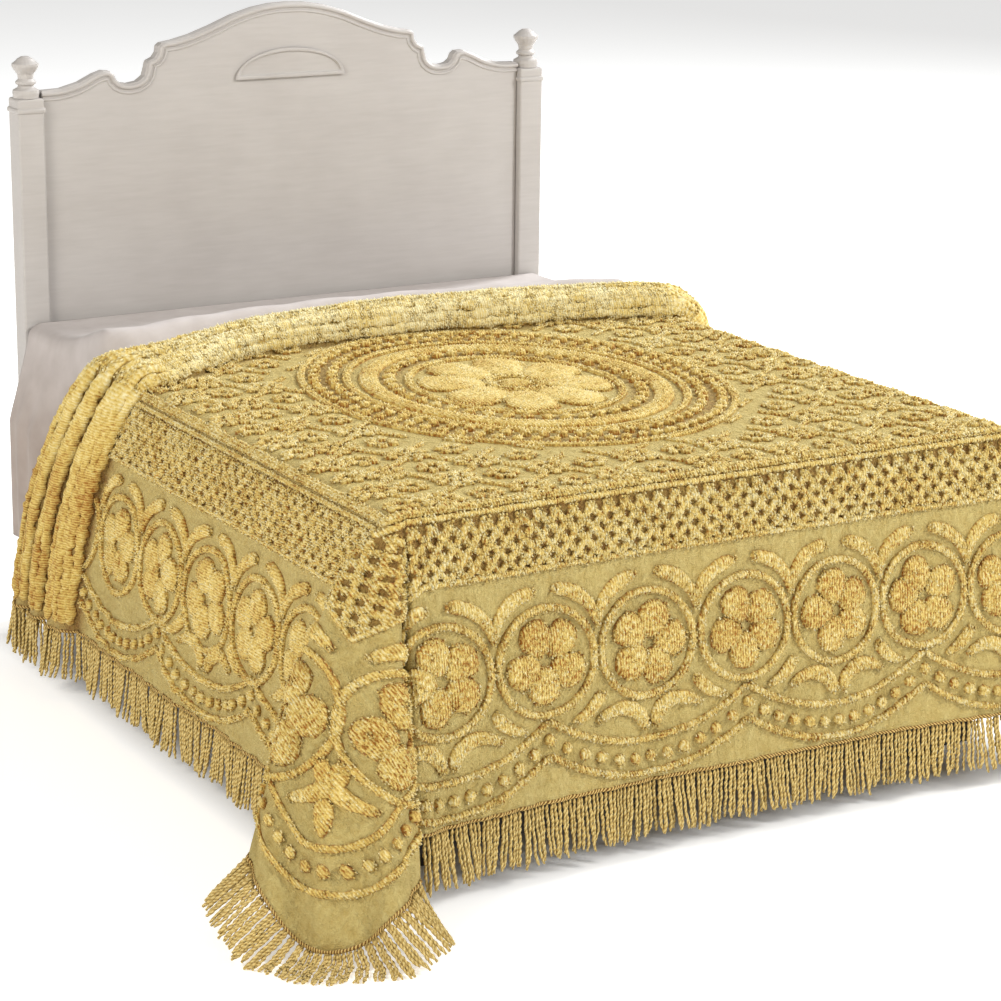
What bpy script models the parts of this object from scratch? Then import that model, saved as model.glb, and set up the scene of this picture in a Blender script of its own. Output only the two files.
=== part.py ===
# A chenille bedspread with a fringe, draped over a plain queen bed with a white headboard.
# Metres, +Z up, floor at z = 0. The foot of the bed is toward -Y and the headboard toward +Y.
import math

import bpy
import numpy as np

# Bed
MattressWidth = 1.524
MattressTop = 0.7997
MattressBottom = 0.52
MattressRound = 0.042
MattressFoot = 0.023
MattressHead = 2.035
BaseBottom = 0.05
BaseInset = 0.012
FootSize = 0.05
BoardFront = 2.0545
BoardThick = 0.032
PostAcross = 0.73
PostSize = 0.070

# Spread: the cloth lies flat to these lines, then turns down over the edge
ClothTop = 0.802
ClothThick = 0.002
EdgeAcross = 0.745
EdgeFoot = 0.040
EdgeTurn = 0.042
Drop = 0.662
HemCorner = 0.118
FringeLong = 0.118
FringeThick = 0.0025
FringeGap = 0.0009
FringeSplay = 0.85
SplayFrom = 27
SplayTo = 67
ToothPitch = 0.105
ToothShare = 0.62
HeaderDeep = 0.018

# Moves the bed so that its bounding box is centred on the origin
CentreAlong = 0.8628

# Corner fold. phi: degrees round the corner from the foot to the side. The three pairs are the plan
# positions of the cloth at 0.30, 0.62 and all of the way down to the hem.
CornerNames = ("phi", "x1", "y1", "x2", "y2", "x3", "y3")
CornerFold = (
    (0, -.745, -.057, -.745, -.096, -.745, -.135),
    (8, -.772, -.060, -.798, -.098, -.820, -.131),
    (14, -.785, -.043, -.806, -.056, -.838, -.068),
    (20, -.793, -.050, -.828, -.087, -.872, -.128),
    (28, -.805, -.070, -.834, -.142, -.856, -.236),
    (37, -.850, -.060, -.905, -.165, -.955, -.285),
    (45, -.888, -.025, -.982, -.110, -1.054, -.215),
    (53, -.908, .010, -1.020, -.040, -1.125, -.135),
    (62, -.905, .048, -1.018, .038, -1.135, -.050),
    (69, -.880, .055, -.965, .040, -1.050, -.010),
    (75, -.860, .045, -.915, .020, -.975, .005),
    (82, -.845, .030, -.865, .005, -.895, -.015),
    (90, -.840, .040, -.875, .040, -.900, .040),
)
FoldDepths = (0.30, 0.62, 1.0)

# Gathered head end. across: along the cloth from the middle of the bed, so that past 0.745 it is on
# a side. front: where the first fold starts. crease: depth of the grooves between the folds.
HeadNames = ("across", "front", "width", "height", "crease")
HeadFolds = (
    (-1.41, 1.400, .365, .052, .98),
    (-1.15, 1.365, .345, .052, .98),
    (-0.95, 1.300, .320, .052, .98),
    (-0.84, 1.250, .300, .050, .95),
    (-0.75, 1.215, .280, .050, .90),
    (-0.65, 1.275, .215, .056, .85),
    (-0.50, 1.375, .155, .066, .65),
    (-0.30, 1.435, .125, .074, .40),
    (0.00, 1.455, .120, .078, .22),
    (0.40, 1.410, .125, .078, .18),
    (0.65, 1.360, .135, .076, .22),
    (0.78, 1.315, .150, .070, .35),
    (0.92, 1.310, .200, .060, .70),
    (1.15, 1.350, .270, .052, .90),
    (1.41, 1.380, .320, .052, .95),
)
FoldCreases = ((.47, .050), (.75, .050))
HeadLift = 0.0045

# Plain sheet over the mattress, between the gathered end and the headboard
SheetThick = 0.0015
SheetOut = 0.0035
SheetDrop = 0.55
SheetRidge = 0.075
SheetHead = 2.022


def clear_scene():
    for item in list(bpy.data.objects):
        bpy.data.objects.remove(item, do_unlink=True)
    for mesh in list(bpy.data.meshes):
        bpy.data.meshes.remove(mesh)


def material(name, colour, rough):
    made = bpy.data.materials.new(name)
    made.use_nodes = True
    shader = made.node_tree.nodes["Principled BSDF"]
    shader.inputs["Base Color"].default_value = (*colour, 1)
    shader.inputs["Roughness"].default_value = rough
    made.diffuse_color = (*colour, 1)
    return made


def smooth_table(at, keys, values):
    # Cubic through every row of a table
    keys = np.asarray(keys, float)
    values = np.asarray(values, float)
    slopes = np.gradient(values, keys, axis=0)
    at = np.clip(np.asarray(at, float), keys[0], keys[-1])
    low = np.clip(np.searchsorted(keys, at) - 1, 0, len(keys) - 2)
    gap = keys[low + 1] - keys[low]
    s = (at - keys[low]) / gap
    if values.ndim == 2:
        gap = gap[..., None]
        s = s[..., None]
    first = (2 * s**3 - 3 * s**2 + 1) * values[low] + (s**3 - 2 * s**2 + s) * gap * slopes[low]
    second = (-2 * s**3 + 3 * s**2) * values[low + 1] + (s**3 - s**2) * gap * slopes[low + 1]
    return first + second


# Profile of the cloth over the edge: length along it, against distance out and distance down
EdgeSteps = np.linspace(0, 1.1, 1101)
EdgeAngle = np.radians(90 * (1 - np.exp(-(EdgeSteps / EdgeTurn) ** 1.25)))
EdgeOut = np.concatenate([[0], np.cumsum(np.cos(EdgeAngle[:-1]) * np.diff(EdgeSteps))])
EdgeDown = np.concatenate([[0], np.cumsum(np.sin(EdgeAngle[:-1]) * np.diff(EdgeSteps))])


def edge_profile(t):
    out = np.interp(t, EdgeSteps, EdgeOut)
    down = np.interp(t, EdgeSteps, EdgeDown)
    angle = np.interp(t, EdgeSteps, EdgeAngle)
    return out, down, angle


def height_after(t, lean, down):
    # The cloth keeps its length, so leaning out lifts it
    t = np.maximum(t, 1e-6)
    return ClothTop - down + t - np.sqrt(np.maximum(t * t - lean**2, (.3 * t) ** 2))


def settle(t):
    return t * t / (t * t + .04)


def foot_lean(across, t):
    near = (EdgeAcross - np.minimum(np.abs(across), EdgeAcross)) / .20
    wave = .004 * np.sin(9.2 * across + .6) + .003 * np.sin(21 * across + 2)
    wave = wave * (1 - np.exp(-near * 1.5))
    return .113 * t * t / (t + .03) + (.05 * np.exp(-near**1.3) + wave) * settle(t)


def side_lean(t):
    return .1437 * (1 - np.exp(-t / .5)) * t / (t + .02)


def foot_point(across, t):
    across, t = np.broadcast_arrays(np.asarray(across, float), np.asarray(t, float))
    out, down, _ = edge_profile(t)
    lean = foot_lean(across, t)
    return np.stack([across, EdgeFoot - out - lean, height_after(t, lean, down)], -1)


def hem_distance(phi):
    # From the corner of the bed to the hem of the cloth, whose own corner is rounded
    turn = np.radians(np.asarray(phi, float))
    square = Drop / np.maximum(np.cos(turn), np.sin(turn))
    centre = Drop - HemCorner
    across = np.sin(turn)
    along = np.cos(turn)
    b = centre * (across + along)
    far = b + np.sqrt(np.maximum(b * b - (2 * centre**2 - HemCorner**2), 0))
    return np.where((far * across > centre) & (far * along > centre), far, square)


def corner_base(rho, phi):
    out, down, _ = edge_profile(rho)
    turn = np.radians(phi)
    share = phi / 90.
    share = share * share * (3 - 2 * share)
    lean_x = side_lean(rho) * share
    lean_y = (.113 * rho * rho / (rho + .03) + .05 * settle(rho)) * (1 - share)
    return np.sin(turn) * out, np.cos(turn) * out, lean_x, lean_y, down


def corner_offsets():
    table = np.array(CornerFold)
    phi = table[:, 0]
    levels = []
    for number, depth in enumerate(FoldDepths):
        x, y, lean_x, lean_y, _ = corner_base(depth * hem_distance(phi), phi)
        base = np.stack([-EdgeAcross - x - lean_x, EdgeFoot - y - lean_y], -1)
        offset = table[:, 1 + 2 * number:3 + 2 * number] - base
        offset[0] = 0
        offset[-1] = 0
        levels.append(offset)
    return phi, levels


FoldPhi, FoldOffsets = corner_offsets()


def corner_point(rho, phi, side):
    rho, phi = np.broadcast_arrays(np.asarray(rho, float), np.asarray(phi, float))
    share = rho / hem_distance(phi)
    first, second, third = [smooth_table(phi, FoldPhi, offset) for offset in FoldOffsets]
    a, b, c = FoldDepths
    knots = np.array([0, a, b, c])
    values = np.stack([first * 0, first, second, third])
    slopes = np.stack([first / a * .55, second / b, (third - first) / (c - a), (third - second) / (c - b) * .9])
    low = np.clip(np.searchsorted(knots, share) - 1, 0, 2)
    gap = (knots[low + 1] - knots[low])[..., None]
    s = (share - knots[low])[..., None] / gap
    pick = low[None, ..., None]
    v0 = np.take_along_axis(values, pick, 0)[0]
    v1 = np.take_along_axis(values, pick + 1, 0)[0]
    m0 = np.take_along_axis(slopes, pick, 0)[0]
    m1 = np.take_along_axis(slopes, pick + 1, 0)[0]
    fold = (2 * s**3 - 3 * s**2 + 1) * v0 + (s**3 - 2 * s**2 + s) * gap * m0
    fold = fold + (-2 * s**3 + 3 * s**2) * v1 + (s**3 - s**2) * gap * m1
    x, y, lean_x, lean_y, down = corner_base(rho, phi)
    out_x = fold[..., 0] - lean_x
    out_y = fold[..., 1] - lean_y
    z = height_after(rho, np.hypot(out_x, out_y), down)
    return np.stack([-side * (-EdgeAcross - x + out_x), EdgeFoot - y + out_y, z], -1)


def side_place(across):
    side = np.sign(across)
    t = np.maximum(np.abs(across) - EdgeAcross, 0)
    out, down, angle = edge_profile(t)
    lean = side_lean(t)
    x = np.where(t > 0, side * (EdgeAcross + out + lean), across)
    z = np.where(t > 0, height_after(t, lean, down), ClothTop)
    normal = np.stack([side * np.sin(angle), 0 * t, np.cos(angle)], -1)
    return x, z, normal, t


def side_wave(y, t):
    wave = .005 * np.sin(7.0 * y + 1.0) + .003 * np.sin(17 * y)
    return wave * settle(t) * np.clip((y - EdgeFoot) / .15, 0, 1)


def head_columns(across):
    table = np.array(HeadFolds)
    found = smooth_table(across, table[:, 0], table[:, 1:])
    return found[..., 0], found[..., 1], found[..., 2], found[..., 3]


def flat_point(across, share):
    # share runs from the line over the foot of the bed to the first head fold
    across, share = np.broadcast_arrays(np.asarray(across, float), np.asarray(share, float))
    x, z, normal, t = side_place(across)
    front = head_columns(across)[0]
    y = EdgeFoot + (front - EdgeFoot) * share
    wave = side_wave(y, t) * np.clip((front - y) / .1, 0, 1)
    return np.stack([x, y, z], -1) + normal * wave[..., None]


def fold_profile(w, crease):
    swell = np.maximum(1 - np.abs(2 * w - 1) ** 3.2, 0) ** .6
    groove = 0 * w
    for place, wide in FoldCreases:
        groove = np.maximum(groove, np.exp(-((w - place) / wide) ** 2))
    return swell * (1 - .9 * crease * groove)


def head_point(across, w):
    across, w = np.broadcast_arrays(np.asarray(across, float), np.asarray(w, float))
    x, z, normal, t = side_place(across)
    front, width, height, crease = head_columns(across)
    raised = height * fold_profile(w, crease) + HeadLift * w * w * (3 - 2 * w)
    y = front + width * w
    return np.stack([x, y, z], -1) + normal * raised[..., None]


# Where the cloth is divided: across the top, down a drop, along the flat part and through the folds
TopSteps = np.linspace(-EdgeAcross, EdgeAcross, 17)
DropSteps = np.array([0, .016, .032, .052, .085, .14, .22, .32, .43, .55, Drop])
AlongSteps = np.linspace(0, 1, 8)
FoldSteps = np.array([0, .03, .09, .19, .30, .39, .47, .55, .62, .69, .75, .81, .88, .95, 1.0])
PhiSteps = np.array([0, 4, 8, 11, 14, 17, 20, 24, 28, 32, 37, 41, 45, 49, 53, 57, 62, 66, 69, 72, 75, 79, 82, 86, 90.])


def add_grid(points, faces, grid, flip):
    start = len(points)
    rows, columns = grid.shape[:2]
    points.extend(grid.reshape(-1, 3).tolist())
    for row in range(rows - 1):
        for column in range(columns - 1):
            a = start + row * columns + column
            quad = [a, a + 1, a + columns + 1, a + columns]
            faces.append(quad[::-1] if flip else quad)


def object_from(name, points, faces, made, merge=0.0):
    mesh = bpy.data.meshes.new(name)
    mesh.from_pydata([tuple(p) for p in points], [], faces)
    item = bpy.data.objects.new(name, mesh)
    Group.objects.link(item)
    item.data.materials.append(made)
    if merge:
        import bmesh
        work = bmesh.new()
        work.from_mesh(mesh)
        bmesh.ops.remove_doubles(work, verts=work.verts, dist=merge)
        bmesh.ops.dissolve_degenerate(work, edges=work.edges, dist=1e-6)
        work.to_mesh(mesh)
        work.free()
    return item


def solidify(item, thick):
    modifier = item.modifiers.new("Thickness", "SOLIDIFY")
    modifier.thickness = thick
    modifier.offset = -1
    modifier.use_even_offset = False
    modifier.use_rim = True


def spread():
    across = np.concatenate([-EdgeAcross - DropSteps[:0:-1], TopSteps, EdgeAcross + DropSteps[1:]])
    points = []
    faces = []
    add_grid(points, faces, flat_point(across[None, :], AlongSteps[:, None]), False)
    add_grid(points, faces, head_point(across[None, :], FoldSteps[:, None]), False)
    add_grid(points, faces, foot_point(TopSteps[None, :], DropSteps[:, None]), True)
    for side in (-1, 1):
        depth = DropSteps[:, None] / Drop * hem_distance(PhiSteps)[None, :]
        near = DropSteps[:, None] + 0 * depth
        blend = np.clip(near / .2, 0, 1)
        depth = depth * blend + near * (1 - blend)
        add_grid(points, faces, corner_point(depth, PhiSteps[None, :], side), side > 0)
    points = np.array(points) - [0, CentreAlong, 0]
    item = object_from("bedspread", points, faces, Chenille, 1e-5)
    solidify(item, ClothThick)
    return item


def hem_frames():
    # Every point where the mesh of the spread meets its hem, with the way that the fringe falls
    places = [("head", -1, w) for w in FoldSteps[::-1]]
    places += [("flat", -1, share) for share in AlongSteps[-2::-1]]
    places += [("corner", -1, phi) for phi in PhiSteps[-2::-1]]
    places += [("foot", 0, x) for x in TopSteps[1:]]
    places += [("corner", 1, phi) for phi in PhiSteps[1:]]
    places += [("flat", 1, share) for share in AlongSteps[1:]]
    places += [("head", 1, w) for w in FoldSteps[1:]]
    points = []
    falls = []
    loose = []
    for kind, side, value in places:
        pair = []
        for extra in (0, .01):
            if kind == "foot":
                pair.append(foot_point(value, Drop + extra))
            elif kind == "flat":
                pair.append(flat_point(side * (EdgeAcross + Drop + extra), value))
            elif kind == "head":
                pair.append(head_point(side * (EdgeAcross + Drop + extra), value))
            else:
                pair.append(corner_point(hem_distance(value) + extra, value, side))
        points.append(pair[0])
        falls.append((pair[1] - pair[0]) / np.linalg.norm(pair[1] - pair[0]))
        loose.append(float(kind == "corner" and SplayFrom < value < SplayTo))
    return np.array(points), np.array(falls), np.array(loose)


def fringe():
    points, falls, loose = hem_frames()
    steps = np.linalg.norm(np.diff(points, axis=0), axis=1)
    length = np.concatenate([[0], np.cumsum(steps)])
    count = round(length[-1] / ToothPitch)
    pitch = length[-1] / count
    cuts = list(length)
    for tooth in range(count):
        for cut in (tooth * pitch, (tooth + ToothShare) * pitch):
            if np.abs(length - cut).min() > .010:
                cuts.append(cut)
    cuts = np.array(sorted(cuts))
    place = np.stack([np.interp(cuts, length, points[:, k]) for k in range(3)], -1)
    fall = np.stack([np.interp(cuts, length, falls[:, k]) for k in range(3)], -1)
    fall /= np.linalg.norm(fall, axis=1)[:, None]
    splay = FringeSplay * np.interp(cuts, length, loose)
    ahead = np.stack([np.interp(cuts + .02, length, points[:, k]) for k in range(3)], -1)
    behind = np.stack([np.interp(cuts - .02, length, points[:, k]) for k in range(3)], -1)
    run = ahead - behind
    tangent = run / np.linalg.norm(run, axis=1)[:, None]
    away = fall - (fall * tangent).sum(1)[:, None] * tangent
    away /= np.linalg.norm(away, axis=1)[:, None]
    run[:, 2] = 0
    run /= np.maximum(np.linalg.norm(run, axis=1), 1e-9)[:, None]
    outward = np.stack([run[:, 1], -run[:, 0], 0 * run[:, 0]], -1)
    low = FringeThick * 2.2

    def down_strand(number, far):
        # Falls from the hem, splayed where it is near the floor, and lies outward once it gets there
        start = place[number]
        way = fall[number] + outward[number] * splay[number]
        way = way / np.linalg.norm(way)
        hang = min(far, max(start[2] - low, 0) / max(-way[2], .05))
        at = start + way * hang + outward[number] * (far - hang)
        at[2] = max(at[2], low)
        return at

    rows = []
    for number in range(len(cuts)):
        head = place[number] + away[number] * FringeGap
        rows.append([head] + [down_strand(number, far) for far in (HeaderDeep, .068, FringeLong)])
    vertices = np.array([point for row in rows for point in row]) - [0, CentreAlong, 0]
    middles = (cuts[1:] + cuts[:-1]) / 2
    lowest = np.minimum(place[1:, 2], place[:-1, 2])
    faces = []
    for number in range(len(rows) - 1):
        a = number * 4
        b = a + 4
        faces.append([a, b, b + 1, a + 1])
        if (middles[number] / pitch) % 1 < ToothShare:
            same = np.floor(middles / pitch) == np.floor(middles[number] / pitch)
            if lowest[same].min() > FringeLong + low + .05:
                faces.append([a + 1, b + 1, b + 3, a + 3])
            else:
                faces.append([a + 1, b + 1, b + 2, a + 2])
                faces.append([a + 2, b + 2, b + 3, a + 3])
    used = sorted({index for face in faces for index in face})
    index = {old: new for new, old in enumerate(used)}
    faces = [[index[i] for i in face][::-1] for face in faces]
    item = object_from("fringe", vertices[used], faces, Cord)
    solidify(item, FringeThick)
    return item


def sheet():
    # Starts inside the gathered end of the spread and runs to the headboard
    half = MattressWidth / 2 + SheetOut
    bend = .036 + SheetOut
    top = MattressTop + .0003 + SheetThick
    arc = bend * math.pi / 2
    flat = half - bend
    low = SheetDrop - bend
    across = [-(flat + arc + low), -(flat + arc + low * .5)]
    across += [-(flat + arc * k / 4) for k in (4, 3, 2, 1)]
    across += list(np.linspace(-flat, flat, 9))
    across += [flat + arc * k / 4 for k in (1, 2, 3, 4)]
    across += [flat + arc + low * .5, flat + arc + low]
    points = []
    shares = (0, .10, .13, .17, .22, .30, .42, .60, .80, 1)
    for share in shares:
        for u in across:
            side = math.copysign(1, u)
            t = max(abs(u) - flat, 0)
            turn = min(t / bend, math.pi / 2)
            x = side * (flat + bend * math.sin(turn)) if t > 0 else u
            z = top - bend * (1 - math.cos(turn)) - max(t - arc, 0)
            front, width, _, _ = head_columns(np.array(u))
            start = float(front + width * .55)
            if t > arc:
                start += .02
            ripple = .0035 * math.sin(23 * share + 3 * u) * min(max(t - arc, 0) / .2, 1) + .0035 * min(max(t - arc, 0) / .2, 1)
            y = start + (SheetHead - start) * share
            behind = y - float(front + width) - .035
            if behind > 0:
                ridge = (1 - math.exp(-(behind / .03) ** 2)) * math.exp(-(behind / .20) ** 2)
                z += SheetRidge * ridge * math.cos(turn) * min(1, max(0, (half - abs(x)) / .03 + .6))
            points.append((x + side * ripple, y - CentreAlong, z))
    faces = []
    wide = len(across)
    for row in range(len(shares) - 1):
        for column in range(wide - 1):
            a = row * wide + column
            faces.append([a, a + 1, a + wide + 1, a + wide])
    item = object_from("sheet", points, faces, Linen)
    solidify(item, SheetThick)
    return item


def box(name, low, high, made, round_by=0.0, segments=3):
    bpy.ops.mesh.primitive_cube_add(size=1)
    item = bpy.context.object
    for group in list(item.users_collection):
        group.objects.unlink(item)
    Group.objects.link(item)
    item.name = name
    item.data.name = name
    size = [h - l for l, h in zip(low, high)]
    middle = [(h + l) / 2 for l, h in zip(low, high)]
    for vertex in item.data.vertices:
        vertex.co = [vertex.co[k] * size[k] + middle[k] - (CentreAlong if k == 1 else 0) for k in range(3)]
    if round_by:
        modifier = item.modifiers.new("Round", "BEVEL")
        modifier.width = round_by
        modifier.segments = segments
        modifier.limit_method = "NONE"
    item.data.materials.append(made)
    return item


def prism(name, outline, back, front, made, soften=0.0):
    # Closed outline in x and z, from the back plane to the front plane
    count = len(outline)
    points = [(x, front - CentreAlong, z) for x, z in outline] + [(x, back - CentreAlong, z) for x, z in outline]
    faces = [list(range(count)), list(range(2 * count - 1, count - 1, -1))]
    faces += [[(k + 1) % count, k, k + count, (k + 1) % count + count] for k in range(count)]
    item = object_from(name, points, faces, made)
    if soften:
        modifier = item.modifiers.new("Soften", "BEVEL")
        modifier.width = soften
        modifier.segments = 1
        modifier.angle_limit = math.radians(50)
    return item


# Top line of the headboard on one side of the middle, from the arch outward to the post
BoardNames = ("across", "above")
BoardTop = (
    (.000, .781),
    (.050, .779),
    (.100, .771),
    (.160, .754),
    (.220, .730),
    (.280, .709),
    (.330, .697),
    (.362, .692),
    (.372, .684),
    (.374, .668),
    (.384, .655),
    (.402, .647),
    (.406, .630),
    (.412, .610),
    (.430, .597),
    (.456, .593),
    (.478, .597),
    (.490, .606),
    (.496, .620),
    (.506, .628),
    (.525, .630),
    (.550, .622),
    (.590, .603),
    (.640, .590),
    (.6947, .588),
)
BoardLow = 0.38


def headboard():
    right = [(x, z + .80) for x, z in BoardTop]
    left = [(-x, z) for x, z in right[1:]]
    outline = left[::-1] + right
    outline += [(outline[-1][0], BoardLow), (outline[0][0], BoardLow)]
    outline = outline[::-1]
    prism("headboard", outline, BoardFront + BoardThick, BoardFront, White, .003)
    arch = [(-.165, 1.392)]
    for step in range(13):
        turn = math.pi * (1 - step / 12)
        arch.append((.158 * math.cos(turn), 1.402 + .064 * math.sin(turn)))
    arch.append((.165, 1.392))
    arch.append((.165, 1.384))
    arch.append((-.165, 1.384))
    prism("arch_panel", arch[::-1], BoardFront - .0005, BoardFront - .0095, White, .002)


# Post above its square part: radius at each height over the floor
FinialNames = ("radius", "height")
Finial = (
    (.033, 1.378),
    (.034, 1.384),
    (.033, 1.392),
    (.022, 1.398),
    (.019, 1.403),
    (.026, 1.408),
    (.026, 1.413),
    (.019, 1.420),
    (.021, 1.432),
    (.030, 1.444),
    (.034, 1.452),
    (.034, 1.458),
    (.026, 1.464),
    (.020, 1.470),
    (.010, 1.476),
)


def posts():
    for side, name in ((-1, "left"), (1, "right")):
        x = side * PostAcross
        half = PostSize / 2
        low = (x - half, BoardFront - .019, 0.0)
        high = (x + half, BoardFront + .051, 1.372)
        box("post_" + name, low, high, White, .005, 2)
        points = []
        faces = []
        sides = 20
        middle = (low[1] + high[1]) / 2 - CentreAlong
        rows = ((.033, 1.3725),) + Finial
        for radius, z in rows:
            for k in range(sides):
                turn = 2 * math.pi * k / sides
                points.append((x + radius * math.cos(turn), middle + radius * math.sin(turn), z))
        for row in range(len(rows) - 1):
            for k in range(sides):
                a = row * sides + k
                b = row * sides + (k + 1) % sides
                faces.append([a, b, b + sides, a + sides])
        faces.append(list(range(sides))[::-1])
        faces.append(list(range((len(rows) - 1) * sides, len(rows) * sides)))
        object_from("finial_" + name, points, faces, White)


def bed():
    half = MattressWidth / 2
    box("mattress", (-half, MattressFoot, MattressBottom), (half, MattressHead, MattressTop), Ticking, MattressRound, 4)
    inset = BaseInset
    low = (-half + inset, MattressFoot + inset, BaseBottom)
    high = (half - inset, MattressHead - inset, MattressBottom - .0005)
    box("bed_base", low, high, Dark, .015, 2)
    number = 0
    for x in (-half + .10, half - .10):
        for y in (MattressFoot + .10, (MattressFoot + MattressHead) / 2, MattressHead - .10):
            number += 1
            spot = (x - FootSize / 2, y - FootSize / 2, 0.0)
            top = (x + FootSize / 2, y + FootSize / 2, BaseBottom - .0005)
            box("foot_%d" % number, spot, top, Dark, .003, 1)


clear_scene()
Group = bpy.data.collections.new("chenille_bedspread")
bpy.context.scene.collection.children.link(Group)
Chenille = material("chenille", (.80, .62, .30), .95)
Cord = material("cord", (.72, .58, .32), .95)
Linen = material("linen", (.72, .68, .66), .9)
White = material("white_paint", (.74, .71, .67), .5)
Ticking = material("ticking", (.66, .64, .62), .9)
Dark = material("dark_cloth", (.05, .045, .04), .9)
bed()
headboard()
posts()
sheet()
spread()
fringe()
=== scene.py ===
import math

import bpy
import numpy as np
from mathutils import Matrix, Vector


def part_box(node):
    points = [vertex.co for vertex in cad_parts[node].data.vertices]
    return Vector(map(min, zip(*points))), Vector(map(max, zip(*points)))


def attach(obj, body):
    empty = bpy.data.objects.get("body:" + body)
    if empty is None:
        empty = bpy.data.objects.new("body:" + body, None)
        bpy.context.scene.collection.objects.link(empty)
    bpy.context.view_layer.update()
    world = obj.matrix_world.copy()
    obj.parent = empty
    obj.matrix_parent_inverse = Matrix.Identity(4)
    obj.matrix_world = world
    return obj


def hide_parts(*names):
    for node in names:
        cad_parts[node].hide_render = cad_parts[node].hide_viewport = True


# A fringed chenille bedspread on a plain bed. Metres, +Z up, foot of the bed toward -Y.
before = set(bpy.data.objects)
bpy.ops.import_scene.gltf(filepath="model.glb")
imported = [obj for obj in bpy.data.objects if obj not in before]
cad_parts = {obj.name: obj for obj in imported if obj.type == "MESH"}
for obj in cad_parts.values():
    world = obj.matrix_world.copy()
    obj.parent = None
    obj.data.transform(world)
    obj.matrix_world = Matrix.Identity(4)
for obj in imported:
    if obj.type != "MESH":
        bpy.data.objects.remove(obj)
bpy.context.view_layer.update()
rng = np.random.default_rng(11)
print("frame loaded:", len(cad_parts), "nodes")


# ---- Lines of points and tables
def unit(vectors):
    return vectors / np.maximum(np.linalg.norm(vectors, axis=-1, keepdims=True), 1e-12)


def leftOf(ahead):
    return np.stack([-ahead[..., 1], ahead[..., 0]], -1)


def roundTurns(count):
    return 2 * math.pi * np.arange(count) / count


def lengthsAlong(path):
    return np.concatenate([[0], np.cumsum(np.hypot(*np.diff(path, axis=0).T))])


def pointsAt(at, run, path):
    return np.stack([np.interp(at, run, column) for column in path.T], -1)


def headingAt(at, run, path, reach):
    return unit(pointsAt(at + reach, run, path) - pointsAt(at - reach, run, path))


def hermite(s, gap, low, high, lowSlope, highSlope):
    first = (2 * s**3 - 3 * s**2 + 1) * low + (s**3 - 2 * s**2 + s) * gap * lowSlope
    second = (-2 * s**3 + 3 * s**2) * high + (s**3 - s**2) * gap * highSlope
    return first + second


def smoothTable(at, keys, values):
    # Cubic through every row of a table
    slopes = np.gradient(values, keys, axis=0)
    at = np.clip(np.asarray(at, float), keys[0], keys[-1])
    low = np.clip(np.searchsorted(keys, at) - 1, 0, len(keys) - 2)
    gap = (keys[low + 1] - keys[low])[..., None]
    s = (at - keys[low])[..., None] / gap
    return hermite(s, gap, values[low], values[low + 1], slopes[low], slopes[low + 1])


def smoothPath(points, count=60):
    points = np.asarray(points, float)
    run = lengthsAlong(points)
    return smoothTable(np.linspace(0, run[-1], count), run, points)


def readBetween(table, column, row):
    column = np.clip(column, 0, table.shape[0] - 1.001)
    row = np.clip(row, 0, table.shape[1] - 1.001)
    c = column.astype(int)
    r = row.astype(int)
    thin = column.shape + (1,) * (table.ndim - 2)
    acrossShare = (column - c).reshape(thin)
    alongShare = (row - r).reshape(thin)
    first = table[c, r] * (1 - alongShare) + table[c, r + 1] * alongShare
    second = table[c + 1, r] * (1 - alongShare) + table[c + 1, r + 1] * alongShare
    return first * (1 - acrossShare) + second * acrossShare


# ---- How the cloth lies. u: across the flat cloth from its middle, v: along it from the foot edge
# of the bed, negative down the foot drop.
drape = {
    "top": 0.802,
    "edgeAcross": 0.745,
    "edgeFoot": 0.040,
    "edgeTurn": 0.042,
    "drop": 0.662,
    "hemCorner": 0.118,
    "headLift": 0.0045,
    "centreAlong": 0.8628,
    "footLean": 0.113,  # how far the foot drop swings out
    "footFlare": 0.05,  # and more toward its corners
    "sideLean": 0.1437,
}
edgeAcross = drape["edgeAcross"]
edgeFoot = drape["edgeFoot"]
drop = drape["drop"]

# Corner fold: degrees round the corner, then plan place at 0.30, 0.62 and all of the way to the hem
cornerFold = np.array((
    (0, -.745, -.057, -.745, -.096, -.745, -.135),
    (8, -.772, -.060, -.798, -.098, -.820, -.131),
    (14, -.785, -.043, -.806, -.056, -.838, -.068),
    (20, -.793, -.050, -.828, -.087, -.872, -.128),
    (28, -.805, -.070, -.834, -.142, -.856, -.236),
    (37, -.850, -.060, -.905, -.165, -.955, -.285),
    (45, -.888, -.025, -.982, -.110, -1.054, -.215),
    (53, -.908, .010, -1.020, -.040, -1.125, -.135),
    (62, -.905, .048, -1.018, .038, -1.135, -.050),
    (69, -.880, .055, -.965, .040, -1.050, -.010),
    (75, -.860, .045, -.915, .020, -.975, .005),
    (82, -.845, .030, -.865, .005, -.895, -.015),
    (90, -.840, .040, -.875, .040, -.900, .040),
))
foldDepths = (0.30, 0.62, 1.0)

# Gathered head end: across, start of the first fold, width, height, depth of the grooves
headFolds = np.array((
    (-1.41, 1.400, .365, .052, .98),
    (-1.15, 1.365, .345, .052, .98),
    (-0.95, 1.300, .320, .052, .98),
    (-0.84, 1.250, .300, .050, .95),
    (-0.75, 1.215, .280, .050, .90),
    (-0.65, 1.275, .215, .056, .85),
    (-0.50, 1.375, .155, .066, .72),
    (-0.30, 1.435, .125, .074, .55),
    (0.00, 1.455, .120, .078, .42),
    (0.40, 1.410, .125, .078, .38),
    (0.65, 1.360, .135, .076, .42),
    (0.78, 1.315, .150, .070, .50),
    (0.92, 1.310, .200, .060, .70),
    (1.15, 1.350, .270, .052, .90),
    (1.41, 1.380, .320, .052, .95),
))
foldCreases = ((.34, .058), (.61, .058), (.83, .052))  # place through the folds, half width

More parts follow.
